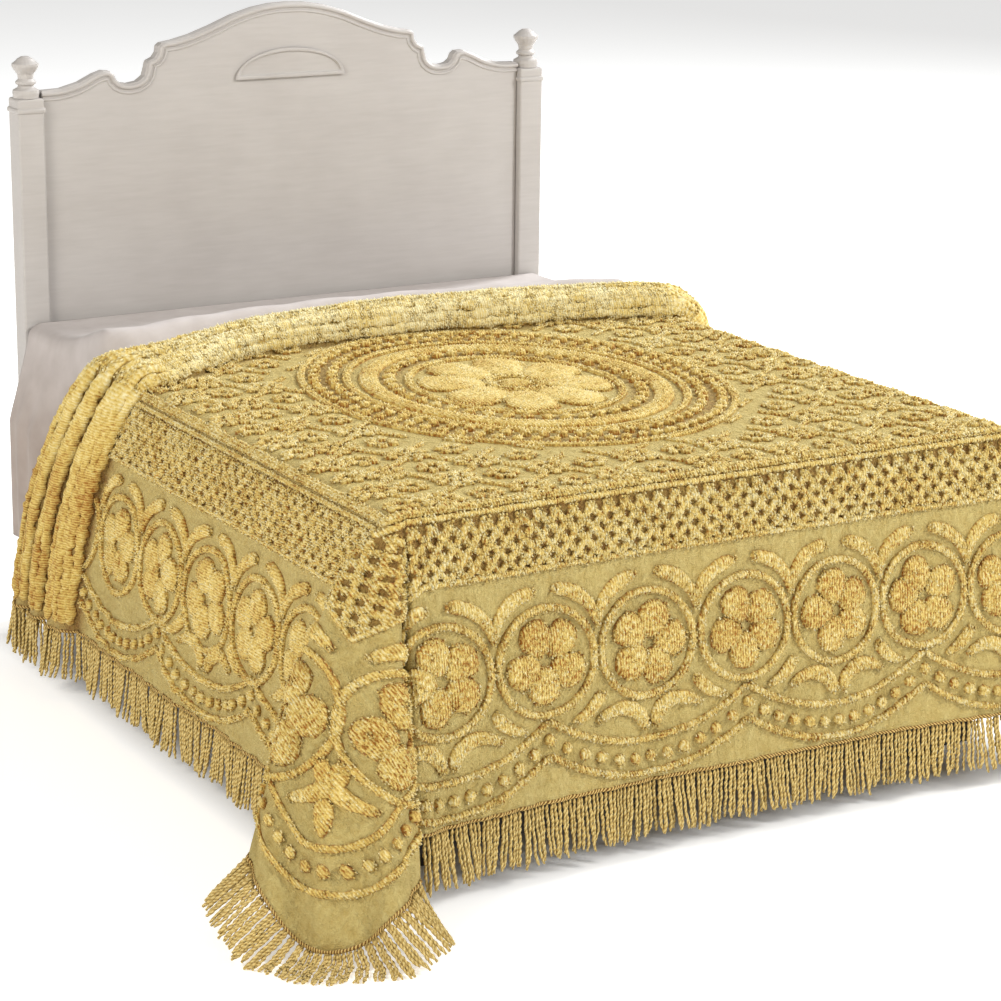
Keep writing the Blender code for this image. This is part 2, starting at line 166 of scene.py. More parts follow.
# The turn over the edge: length along the cloth against distance out and down
edgeSteps = np.linspace(0, 1.1, 1101)
edgeAngle = np.radians(90 * (1 - np.exp(-(edgeSteps / drape["edgeTurn"]) ** 1.25)))
edgeOut = np.concatenate([[0], np.cumsum(np.cos(edgeAngle[:-1]) * np.diff(edgeSteps))])
edgeDown = np.concatenate([[0], np.cumsum(np.sin(edgeAngle[:-1]) * np.diff(edgeSteps))])


def edgeProfile(t):
    return [np.interp(t, edgeSteps, values) for values in (edgeOut, edgeDown, edgeAngle)]


def heightAfter(t, lean, down):
    # The cloth keeps its length, so leaning out lifts it
    t = np.maximum(t, 1e-6)
    return drape["top"] - down + t - np.sqrt(np.maximum(t * t - lean**2, (.3 * t) ** 2))


def settle(t):
    return t * t / (t * t + .04)


def footSwing(t):
    return drape["footLean"] * t * t / (t + .03)


def sideSwing(t):
    return drape["sideLean"] * (1 - np.exp(-t / .5)) * t / (t + .02)


def footPlace(across, t):
    out, down, _ = edgeProfile(t)
    near = (edgeAcross - np.minimum(np.abs(across), edgeAcross)) / .20
    wave = .004 * np.sin(9.2 * across + .6) + .003 * np.sin(21 * across + 2)
    wave = wave * (1 - np.exp(-near * 1.5))
    lean = footSwing(t) + (drape["footFlare"] * np.exp(-near**1.3) + wave) * settle(t)
    return np.stack([across, edgeFoot - out - lean, heightAfter(t, lean, down)], -1)


def hemDistance(phi):
    # From the corner of the bed's top to the hem, which is rounded at the corner of the cloth
    turn = np.radians(np.asarray(phi, float))
    across = np.sin(turn)
    along = np.cos(turn)
    square = drop / np.maximum(along, across)
    centre = drop - drape["hemCorner"]
    b = centre * (across + along)
    far = b + np.sqrt(np.maximum(b * b - (2 * centre**2 - drape["hemCorner"] ** 2), 0))
    return np.where((far * across > centre) & (far * along > centre), far, square)


def cornerBase(rho, phi):
    out, down, _ = edgeProfile(rho)
    turn = np.radians(phi)
    share = phi / 90.
    share = share * share * (3 - 2 * share)
    leanX = sideSwing(rho) * share
    leanY = (footSwing(rho) + drape["footFlare"] * settle(rho)) * (1 - share)
    return np.sin(turn) * out, np.cos(turn) * out, leanX, leanY, down


def cornerOffsets():
    # How far the fold's points lie from where the cloth would hang without it
    phi = cornerFold[:, 0]
    levels = []
    for number, depth in enumerate(foldDepths):
        x, y, leanX, leanY, _ = cornerBase(depth * hemDistance(phi), phi)
        base = np.stack([-edgeAcross - x - leanX, edgeFoot - y - leanY], -1)
        offset = cornerFold[:, 1 + 2 * number:3 + 2 * number] - base
        offset[[0, -1]] = 0
        levels.append(offset)
    return levels


foldOffsets = cornerOffsets()


def cornerPlace(rho, phi, side):
    share = rho / hemDistance(phi)
    first, second, third = [smoothTable(phi, cornerFold[:, 0], offset) for offset in foldOffsets]
    a, b, c = foldDepths
    knots = np.array([0, a, b, c])
    values = np.stack([first * 0, first, second, third])
    outer = (third - first) / (c - a), (third - second) / (c - b) * .9
    slopes = np.stack([first / a * .55, second / b, *outer])
    low = np.clip(np.searchsorted(knots, share) - 1, 0, 2)
    gap = (knots[low + 1] - knots[low])[..., None]
    s = (share - knots[low])[..., None] / gap
    pick = low[None, ..., None]
    ends = [np.take_along_axis(table, pick + k, 0)[0] for table in (values, slopes) for k in (0, 1)]
    fold = hermite(s, gap, *ends)
    x, y, leanX, leanY, down = cornerBase(rho, phi)
    outX = fold[..., 0] - leanX
    outY = fold[..., 1] - leanY
    z = heightAfter(rho, np.hypot(outX, outY), down)
    return np.stack([-side * (-edgeAcross - x + outX), edgeFoot - y + outY, z], -1)


def sidePlace(across):
    side = np.sign(across)
    t = np.maximum(np.abs(across) - edgeAcross, 0)
    out, down, angle = edgeProfile(t)
    lean = sideSwing(t)
    x = np.where(t > 0, side * (edgeAcross + out + lean), across)
    z = np.where(t > 0, heightAfter(t, lean, down), drape["top"])
    return x, z, np.stack([side * np.sin(angle), 0 * t, np.cos(angle)], -1), t


def headColumns(across):
    return np.moveaxis(smoothTable(across, headFolds[:, 0], headFolds[:, 1:]), -1, 0)


def foldStart(u):
    return headColumns(u)[0] - edgeFoot


def flatPlace(across, y):
    x, z, normal, t = sidePlace(across)
    wave = .005 * np.sin(7.0 * y + 1.0) + .003 * np.sin(17 * y)
    short = np.clip((headColumns(across)[0] - y) / .1, 0, 1)
    wave = wave * settle(t) * np.clip((y - edgeFoot) / .15, 0, 1) * short
    return np.stack([x, y, z], -1) + normal * wave[..., None]


def foldPlace(across, w):
    x, z, normal, t = sidePlace(across)
    front, width, height, crease = headColumns(across)
    swell = np.maximum(1 - np.abs(2 * w - 1) ** 3.2, 0) ** .6
    groove = 0 * w
    for place, wide in foldCreases:
        groove = np.maximum(groove, np.exp(-((w - place) / wide) ** 2))
    raised = height * swell * (1 - .9 * crease * groove) + drape["headLift"] * w * w * (3 - 2 * w)
    return np.stack([x, front + width * w, z], -1) + normal * raised[..., None]


# Length of the cloth through the folds, so that the pile keeps its size there
arcAcross = np.linspace(-1.46, 1.46, 147)
arcShare = np.linspace(0, 1, 161)
arcPoints = foldPlace(*np.meshgrid(arcAcross, arcShare, indexing="ij"))
arcRun = np.cumsum(np.linalg.norm(np.diff(arcPoints, axis=1), axis=2), axis=1)
arcRun = np.concatenate([np.zeros((len(arcAcross), 1)), arcRun], axis=1)
arcLong = arcRun[:, -1]
arcBack = np.stack([np.interp(arcShare, run / run[-1], arcShare) for run in arcRun])


def foldLength(u):
    return np.interp(u, arcAcross, arcLong)


def shareAt(u, v):
    # How far through the folds a point of the flat cloth lies
    s = np.clip((v - foldStart(u)) / foldLength(u), 0, 1)
    column = (u - arcAcross[0]) / (arcAcross[1] - arcAcross[0])
    return readBetween(arcBack, column, s * (len(arcShare) - 1.001))


def clothPlace(u, v):
    place = np.zeros(u.shape + (3,))
    a = np.abs(u) - edgeAcross
    along = foldStart(u)
    corner = (a > 0) & (v < 0)
    foot = (a <= 0) & (v < 0)
    flat = (v >= 0) & (v <= along)
    head = (v >= 0) & (v > along)
    rho = np.hypot(a[corner], v[corner])
    phi = np.degrees(np.arctan2(a[corner], -v[corner]))
    place[foot] = footPlace(u[foot], -v[foot])
    place[corner] = cornerPlace(rho, phi, np.sign(u[corner]))
    place[flat] = flatPlace(u[flat], edgeFoot + v[flat])
    place[head] = foldPlace(u[head], shareAt(u[head], v[head]))
    place[..., 1] -= drape["centreAlong"]
    return place


# The drape is worked out once, close enough that points between can be read off it
tableU = np.linspace(-1.46, 1.46, 439)
tableV = np.linspace(-0.72, 2.22, 589)
placeTable = clothPlace(*np.meshgrid(tableU, tableV, indexing="ij"))
normalTable = unit(np.cross(np.gradient(placeTable, axis=0), np.gradient(placeTable, axis=1)))
for _ in range(2):
    padded = np.pad(normalTable, ((1, 1), (1, 1), (0, 0)), mode="edge")
    near = [padded[i:i + len(tableU), k:k + len(tableV)] for i in range(3) for k in range(3)]
    normalTable = unit(sum(near))


def readTable(table, u, v):
    column = (u - tableU[0]) / (tableU[1] - tableU[0])
    return readBetween(table, column, (v - tableV[0]) / (tableV[1] - tableV[0]))


def onCloth(flat, lift=0.0):
    normal = unit(readTable(normalTable, *flat.T))
    return readTable(placeTable, *flat.T) + normal * np.asarray(lift)[..., None]


print("cloth draped: widest across", round(float(np.abs(placeTable[..., 0]).max()), 3))


# ---- Materials
class Shade:
    # Wraps a socket, so that shader maths reads as an expression
    def __init__(self, tree, socket):
        self.tree = tree
        self.socket = socket

    def node(self, kind, settings=None, output=0, **inputs):
        made = self.tree.nodes.new(kind)
        for key, value in (settings or {}).items():
            if key == "stops":
                elements = made.color_ramp.elements
                while len(elements) < len(value):
                    elements.new(.5)
                for element, (place, colour) in zip(elements, value):
                    element.position = place
                    element.color = (*colour, 1)
            else:
                setattr(made, key, value)
        for key, value in inputs.items():
            socket = made.inputs[int(key[1:]) if key[1:].isdigit() else key]
            if isinstance(value, Shade):
                self.tree.links.new(value.socket, socket)
            else:
                socket.default_value = value
        return Shade(self.tree, made.outputs[output])

    def maths(self, operation, first, second=0.0, clamp=False):
        settings = {"operation": operation, "use_clamp": clamp}
        return self.node("ShaderNodeMath", settings, i0=first, i1=second)

    def __add__(self, other):
        return self.maths("ADD", self, other)

    def __radd__(self, other):
        return self.maths("ADD", other, self)

    def __sub__(self, other):
        return self.maths("SUBTRACT", self, other)

    def __rsub__(self, other):
        return self.maths("SUBTRACT", other, self)

    def __mul__(self, other):
        return self.maths("MULTIPLY", self, other)

    def __rmul__(self, other):
        return self.maths("MULTIPLY", other, self)

    def __truediv__(self, other):
        return self.maths("DIVIDE", self, other)

    def __rtruediv__(self, other):
        return self.maths("DIVIDE", other, self)

    def absolute(self):
        return self.maths("ABSOLUTE", self)

    def clamped(self):
        return self.maths("ADD", self, 0.0, True)

    def waves(self, length):
        return (self * (2 * math.pi / length)).sine()

    def sine(self):
        return self.maths("SINE", self)

    def noise(self, scale, detail=2.0, rough=.5):
        inputs = {"Vector": self, "Scale": scale, "Detail": detail, "Roughness": rough}
        return self.node("ShaderNodeTexNoise", None, "Fac", **inputs)

    def scaled(self, *scale):
        return self.node("ShaderNodeMapping", Vector=self, Scale=scale)

    def shadeAttribute(self):
        # The pile attribute: painted light and shade per point. On the pile it is dark at the foot and pale
        # at the tips, on the ground it is how much painted shade lies there, on the fringe it marks darker
        # faces of the twists
        return self.node("ShaderNodeAttribute", {"attribute_name": "pile"}, "Fac")

    def parts(self):
        found = self.node("ShaderNodeSeparateXYZ", Vector=self).socket.node
        return [Shade(self.tree, socket) for socket in found.outputs]

    def ramp(self, *stops):
        return self.node("ShaderNodeValToRGB", {"stops": stops}, "Color", Fac=self)

    def mixed(self, first, second):
        # Colour between two, by this value
        return self.node("ShaderNodeMix", {"data_type": "RGBA"}, 2, i0=self, i6=first, i7=second)

    def bump(self, strength, distance):
        return self.node("ShaderNodeBump", None, "Normal", Height=self, Strength=strength, Distance=distance)


def linear(red, green, blue):
    # A colour as it is seen, 0 to 255, to the linear value that a shader takes
    return tuple(((c / 255 + .055) / 1.055) ** 2.4 if c > 10 else c / 3295 for c in (red, green, blue))


def newMaterial(name, rough, sheen=0.0, tint=(1, 1, 1)):
    made = bpy.data.materials.new(name)
    made.use_nodes = True
    tree = made.node_tree
    values = {
        "Roughness": rough,
        "Specular IOR Level": .25,
        "Sheen Weight": sheen,
        "Sheen Roughness": .6,
        "Sheen Tint": (*tint, 1),
    }
    for key, value in values.items():
        tree.nodes["Principled BSDF"].inputs[key].default_value = value
    flat = tree.nodes.new("ShaderNodeUVMap")
    flat.uv_map = "flat"
    coordinates = tree.nodes.new("ShaderNodeTexCoord")
    return made, Shade(tree, flat.outputs["UV"]), Shade(tree, coordinates.outputs["Object"])


def wire(made, **links):
    shader = made.node_tree.nodes["Principled BSDF"]
    sockets = {"colour": "Base Color", "normal": "Normal", "rough": "Roughness", "glow": "Emission Color"}
    for key, value in links.items():
        made.node_tree.links.new(value.socket, shader.inputs[sockets[key]])
    return made


yarnSheen = linear(255, 232, 178)
pileLook = {
    # deep is painted shade at the foot of the pile and between tufts; tip is the paler yarn ends with painted
    # light on them
    "deep": linear(150, 92, 22),
    "mid": linear(214, 187, 103),
    "tip": linear(246, 240, 202),
    "fleckAcross": 190.0,
    "fleckAlong": 98.0,
    "row": 0.0062,
    "bumpDepth": 0.0045,
    # sideShadeStart and sideShadeLong: where the painted shade down the side falls begins, and how far it
    # takes to grow
    "sideShadeStart": edgeAcross - .14,
    "sideShadeLong": 0.42,
}


def pileMaterial(name, contrast, body, size=1.0, bump=1.0, sideShade=0.0):
    made, flat, place = newMaterial(name, .95, .22, yarnSheen)
    # Yarn ends lie in rows along the cloth
    fleck = flat.scaled(pileLook["fleckAcross"] / size, pileLook["fleckAlong"] / size, 1.0).noise(1.0, 3, .65)
    across = flat.parts()[0]
    row = (across * (2 * math.pi / pileLook["row"]) + fleck * 7).sine()
    blotch = place.noise(14, 3)
    relief = fleck * .9 + row * .10 + place.noise(650, 1) * .3
    # Painted shade and light: dark at the pile's foot and between tufts and rows, pale at the tips; the
    # flecks are partly the yarn's own tone, partly painted shade between tufts
    shade = flat.shadeAttribute() * .55 + (fleck - .5) * contrast + row * .10 + (blotch - .5) * .6 + body
    shade = shade.clamped()
    if sideShade:
        # Painted shade: down the side falls the pile is darker
        side = ((across.absolute() - pileLook["sideShadeStart"]) / pileLook["sideShadeLong"]).clamped()
        shade = (shade - side * sideShade).clamped()
    colour = shade.ramp((0, pileLook["deep"]), (.36, pileLook["mid"]), (.95, pileLook["tip"]))
    return wire(made, colour=colour, normal=relief.bump(bump, pileLook["bumpDepth"]))


groundLook = {
    "light": linear(226, 208, 138),
    "dark": linear(194, 164, 86),
    # deep: painted shade for ground between close pile and in creases
    "deep": linear(124, 66, 18),
    "thread": 0.0016,
}


def groundMaterial(name):
    made, flat, place = newMaterial(name, .9, .25, yarnSheen)
    across, along, _ = flat.parts()
    weave = across.waves(groundLook["thread"]) * along.waves(groundLook["thread"])
    crinkle = flat.scaled(46.0, 15.0, 1.0).noise(1.0, 4, .62)
    cockle = place.noise(84, 4, .62)
    slub = place.noise(420, 2, .6)
    relief = weave * .05 + crinkle * 1.4 + cockle * 1.8 + slub * .30
    shade = ((crinkle - .5) * 1.0 + (cockle - .5) * 1.2 + (slub - .5) * 1.1 + .5).clamped()
    cloth = shade.ramp((0, groundLook["dark"]), (1, groundLook["light"]))
    deep = shade.ramp((0, groundLook["deep"]), (1, groundLook["dark"]))
    # Painted shade: where the attribute is high, the ground turns to the deep colour
    colour = flat.shadeAttribute().mixed(cloth, deep)
    return wire(made, colour=colour, normal=relief.bump(1.0, .010))


cordLook = {
    # deep: painted shade, in the twists of the strands and between the hem's beads
    "deep": linear(104, 66, 20),
    "mid": linear(200, 171, 101),
    "tip": linear(238, 220, 160),
    "bead": 0.0078,
}


def cordMaterial(name, beaded=False):
    made, flat, place = newMaterial(name, .95, .1, yarnSheen)
    fine = place.noise(600, 2, .6)
    if beaded:
        # A bead to each strand along the hem, drawn only in colour: painted shade between the beads, pale on
        # them
        across, along, _ = flat.parts()
        shade = (across.absolute() + along).waves(cordLook["bead"]) * .40 + fine * .4 - .02
    else:
        shade = flat.shadeAttribute() * .85 + fine * .6 - .36
    colour = shade.clamped().ramp((0, cordLook["deep"]), (.42, cordLook["mid"]), (1, cordLook["tip"]))
    return wire(made, colour=colour, normal=fine.bump(.4, .0012))


def sheetMaterial(name):
    made, flat, place = newMaterial(name, .8, .1)
    crinkle = place.noise(14, 3, .5)
    # Painted shade: the side falls are darker than the turned-over top
    top = ((place.parts()[2] - .52) / .30).clamped()
    low = crinkle.ramp((.2, linear(146, 132, 123)), (.8, linear(166, 153, 145)))
    high = crinkle.ramp((.2, linear(174, 165, 161)), (.8, linear(192, 184, 181)))
    relief = crinkle + place.noise(900, 1) * .05
    return wire(made, colour=top.mixed(low, high), normal=relief.bump(.25, .006))


def paintMaterial(name):
    made, flat, place = newMaterial(name, .42)
    grain = place.scaled(6.0, 30.0, 60.0).noise(2.0, 4, .55)
    blotch = place.noise(5.0, 2)
    colour = (grain * .5 + blotch * .5).ramp((.25, linear(174, 168, 164)), (.75, linear(187, 182, 178)))
    return wire(made, colour=colour, normal=grain.bump(.06, .002), rough=grain * .15 + .36)


def wovenMaterial(name, rough, sheen, scale, detail, low, high, strength):
    made, flat, place = newMaterial(name, rough, sheen)
    weave = place.noise(scale, detail)
    return wire(made, colour=weave.ramp((.2, low), (.8, high)), normal=weave.bump(strength, .001))


pileSkin = pileMaterial("chenillePile", 1.8, .13)
flowerSkin = pileMaterial("flowerPile", 1.9, .03)
softSkin = pileMaterial("softPile", 1.2, .08, 1.3, .8)
ropeSkin = pileMaterial("ropePile", 1.0, .34, 1.3, .85, .34)
groundSkin = groundMaterial("wovenGround")
headerSkin = cordMaterial("headerCord", True)
cordSkin = cordMaterial("fringeCord")
sheetSkin = sheetMaterial("whiteSheet")
paintSkin = paintMaterial("whitePaint")
tickingSkin = wovenMaterial("mattressCover", .9, .1, 700, 1, linear(205, 201, 197), linear(222, 219, 215), .2)
# A near-black woven finish for the bed base and its feet; it shows dark under the bed, between the fringe's
# strands
darkSkin = wovenMaterial("darkLining", .95, 0.0, 500, 2, linear(46, 42, 38), linear(66, 61, 56), .3)
print("materials made")


# ---- Meshes and objects
def selectOnly(item=None):
    bpy.ops.object.select_all(action="DESELECT")
    if item:
        item.select_set(True)
        bpy.context.view_layer.objects.active = item


def addItem(name, data):
    item = bpy.data.objects.new(name, data)
    bpy.context.scene.collection.objects.link(item)
    return item


def dress(item, skin):
    item.data.materials.clear()
    item.data.materials.append(skin)


def startEdit():
    bpy.ops.object.mode_set(mode="EDIT")
    bpy.ops.mesh.select_all(action="SELECT")


def endEdit():
    bpy.ops.object.mode_set(mode="OBJECT")


def addModifier(item, kind, **settings):
    made = item.modifiers.new(kind.title(), kind)
    for key, value in settings.items():
        setattr(made, key, value)


def applyModifiers(item):
    selectOnly(item)
    for modifier in list(item.modifiers):
        bpy.ops.object.modifier_apply(modifier=modifier.name)


def meshPiece(name, points, quads, triangles, skin, flat, pile=None):
    mesh = bpy.data.meshes.new(name)
    quads = np.asarray(quads, np.int32).reshape(-1, 4)
    triangles = np.asarray(triangles, np.int32).reshape(-1, 3)
    corners = np.concatenate([quads.ravel(), triangles.ravel()])
    totals = np.repeat([4, 3], [len(quads), len(triangles)]).astype(np.int32)
    mesh.vertices.add(len(points))
    mesh.vertices.foreach_set("co", np.asarray(points, np.float32).ravel())
    mesh.loops.add(len(corners))
    mesh.loops.foreach_set("vertex_index", corners)
    mesh.polygons.add(len(totals))
    mesh.polygons.foreach_set("loop_start", np.cumsum(totals, dtype=np.int32) - totals)
    mesh.polygons.foreach_set("loop_total", totals)
    mesh.polygons.foreach_set("use_smooth", np.ones(len(totals), bool))
    mesh.update(calc_edges=True)
    layer = mesh.uv_layers.new(name="flat")
    layer.data.foreach_set("uv", np.asarray(flat, np.float32)[corners].ravel())
    if pile is not None:
        layer = mesh.attributes.new("pile", "FLOAT", "POINT")
        layer.data.foreach_set("value", np.asarray(pile, np.float32))
    mesh.validate()
    mesh.materials.append(skin)
    return addItem(name, mesh)


def gridFaces(rows, columns, start=0, flip=False):
    a = start + (np.arange(rows - 1)[:, None] * columns + np.arange(columns - 1)[None, :]).ravel()
    found = np.stack([a, a + 1, a + columns + 1, a + columns], -1)
    return found[:, ::-1] if flip else found


def tubeFaces(rows, columns, closed):
    # Rings of points made a tube. One that doesn't close on itself gets a fan at each end.
    index = np.arange(rows * columns).reshape(rows, columns)
    if closed:
        index = np.vstack([index, index[:1]])
    index = np.hstack([index, index[:, :1]])
    quads = np.stack([index[:-1, :-1], index[1:, :-1], index[1:, 1:], index[:-1, 1:]], -1).reshape(-1, 4)
    if closed:
        return quads, []
    rings = index[[0, -1], :-1]
    first, last = [np.stack([np.full(columns - 2, ring[0]), ring[1:-1], ring[2:]], -1) for ring in rings]
    return quads, np.concatenate([first, last[:, ::-1]])


def clothArea(points, quads):
    p = points[quads]
    return float(np.linalg.norm(np.cross(p[:, 2] - p[:, 0], p[:, 3] - p[:, 1]), axis=1).sum() / 2)


# ---- The woven ground
ground = {
    "thick": 0.0018,
    "topColumns": 112,
    "alongRows": 58,
    "foldRows": 54,
    "cornerColumns": 66,
    "netSide": (0.052, 0.200),  # where the ground under the net of pile gets painted shade, down the side
    "netFoot": (0.034, 0.170),
    # creaseWide: width of the painted shade along each crease
    "creaseWide": 0.026,
}

# Medallion: shares of the outermost ring's size
medallion = {
    "centre": 0.866 - edgeFoot,
    "across": 0.487,
    "along": 0.596,
    "rings": ((.985, .020, .0085), (.775, .022, .0090), (.487, .022, .0090)),
    "thick": (.672, .050, .0115),
    "dots": ((.928, 72, .0148, .0152), (.842, 66, .0146, .0150), (.578, 42, .0160, .0165)),
    # dotRows: rings of painted shade on the ground among the rows of dots
    "dotRows": ((.885, .075), (.575, .05)),
    "petals": 8,
    "petalAt": 0.292,
    "petalSize": (.164, .122),
    "centreRing": (.124, .024),
    "centrePad": .043,
}


def medallionShare(u, v):
    return np.hypot(u / medallion["across"], (v - medallion["centre"]) / medallion["along"])


def crinkled(u, v):
    # Small folds that the pile and the hang pull into the ground
    a = np.maximum(np.abs(u) - edgeAcross, 0)
    b = np.maximum(-v, 0)
    t = np.maximum(a, b)
    low = np.clip((t - .36) / .28, 0, 1) ** 1.4
    # Round the corner the creases fan out, along a straight drop they hang side by side
    turn = np.arctan2(a, b)
    corner = (a > 0) & (v < 0)
    run = np.where(corner, turn * .45, np.where(b > a, u, v))
    wave = .0026 * np.sin(2 * math.pi * run / .061 + 1.9 * np.sin(run * 8.3) + 5 * t)
    wave = wave + .0016 * np.sin(2 * math.pi * run / .037 + 2.4 * np.sin(run * 13.7 + 1) - 3 * t)
    soft = .0015 * np.sin(run * 41 + 11 * t) + .0010 * np.sin(run * 67 - 23 * t + 2)
    way = np.degrees(turn)
    fan = .0066 * np.sin(way * .27 + 1.1) + .0054 * np.sin(way * .61 + 9 * t)
    fan = fan + .0020 * np.sin(way * 1.3 - 14 * t)
    return wave * low + soft * np.clip(t / .2, 0, 1) + fan * np.clip((t - .22) / .35, 0, 1) * corner


def foldMarks(u):
    # Lengths through the folds at their start, at the bottoms of the creases and at their end
    places = [0] + [place for place, wide in foldCreases] + [1]
    return [np.interp(u, arcAcross, [np.interp(place, arcShare, run) for run in arcRun]) for place in places]


def groundShade(u, v):
    # Painted shade on the ground where it lies between close pile: under the net, along the gathered folds
    # and their creases, and in the rows round the medallion
    share = medallionShare(u, v)
    rows = sum(np.exp(-((share - at) / wide) ** 4) for at, wide in medallion["dotRows"])
    a = np.abs(u) - edgeAcross
    sideFrom, sideTo = ground["netSide"]
    footFrom, footTo = ground["netFoot"]
    within = np.clip((sideTo - a) / .008, 0, 1)
    fromSide = np.clip((a - sideFrom) / .012, 0, 1) * within * np.clip((sideTo + v) / .008, 0, 1)
    fromFoot = np.clip((-v - footFrom) / .012, 0, 1) * within * np.clip((footTo + v) / .008, 0, 1)
    run = v - foldStart(u)
    crease = sum(np.exp(-((run - mark) / ground["creaseWide"]) ** 2) for mark in foldMarks(u)[:-1])
    # More painted shade on the side falls than on the roll, and most along the creases
    down = np.clip((a + .05) / .05, 0, 1)
    folds = np.clip(run / .02 + .5, 0, 1) * (.15 + .35 * down) + crease * (.6 + .4 * down)
    return np.clip(np.maximum.reduce([rows * .8, folds, fromSide, fromFoot]), 0, 1)


def buildGround():
    # Rows lie close together over the edge, wider down the drop
    steps = np.concatenate([np.linspace(0, .10, 13), np.linspace(.10, drop, 38)[1:]])
    top = np.linspace(-edgeAcross, edgeAcross, ground["topColumns"] + 1)
    across = np.concatenate([-edgeAcross - steps[:0:-1], top, edgeAcross + steps[1:]])
    along = foldStart(across)
    flatRows = np.linspace(0, 1, ground["alongRows"] + 1)[:, None]
    foldRows = np.linspace(0, 1, ground["foldRows"] + 1)[:, None]
    downRows = steps[:, None]
    patches = [
        (across + 0 * flatRows, along * flatRows, False),
        (across + 0 * foldRows, along + foldLength(across) * foldRows, False),
        (top + 0 * downRows, -downRows + 0 * top, True),
    ]
    phi = np.linspace(0, 90, ground["cornerColumns"] + 1)
    blend = np.clip(downRows / .2, 0, 1)
    depth = downRows / drop * hemDistance(phi) * blend + downRows * (1 - blend)
    a = depth * np.sin(np.radians(phi))
    b = depth * np.cos(np.radians(phi))
    for side in (-1, 1):
        patches.append((side * (edgeAcross + a), -b, side > 0))
    quads = []
    start = 0
    for patch, _, flip in patches:
        quads.append(gridFaces(*patch.shape, start, flip))
        start += patch.size
    quads = np.concatenate(quads)
    u, v = [np.concatenate([patch[k].ravel() for patch in patches]) for k in (0, 1)]
    points = clothPlace(u, v) + readTable(normalTable, u, v) * crinkled(u, v)[:, None]
    flat = np.stack([u, v], -1)
    item = meshPiece("spread_ground", points, quads, [], groundSkin, flat, groundShade(u, v))
    addModifier(item, "WELD", merge_threshold=2e-5)
    addModifier(item, "SOLIDIFY", thickness=ground["thick"], offset=-1)
    applyModifiers(item)
    return item, clothArea(points, quads)


spreadGround, groundArea = buildGround()
print("ground made:", len(spreadGround.data.polygons), "faces, area", round(groundArea, 3))


# ---- Chenille pile: strokes, pads and dots laid out on the flat cloth, each set with yarn tufts
strokeProfile = ((-1, -.20), (-.66, .55), (0, .88), (.66, .55), (1, -.20))
wideProfile = ((-1, -.15), (-.82, .55), (-.35, .85), (.35, .85), (.82, .55), (1, -.15))
padShares = (1, .86, .55)
padHeights = (-.12, .58, .86)
fluff = {
    "across": 0.0067,
    "along": 0.0090,
    "wide": 0.0034,
    "tall": 0.0040,
    "splay": 0.0026,
    "droop": 0.0016,
    "section": 0.0078,
    # edgeShade and footShade: painted shade at the foot of each stroke's edge and at the foot of each tuft
    "edgeShade": 0.05,
    "footShade": 0.14,
}


def bodyShade(tall):
    # Painted shade: a dark outline at the foot of a stroke's edges, lighter higher up its body
    return np.where(tall < 0, fluff["edgeShade"], .34 + .12 * tall)


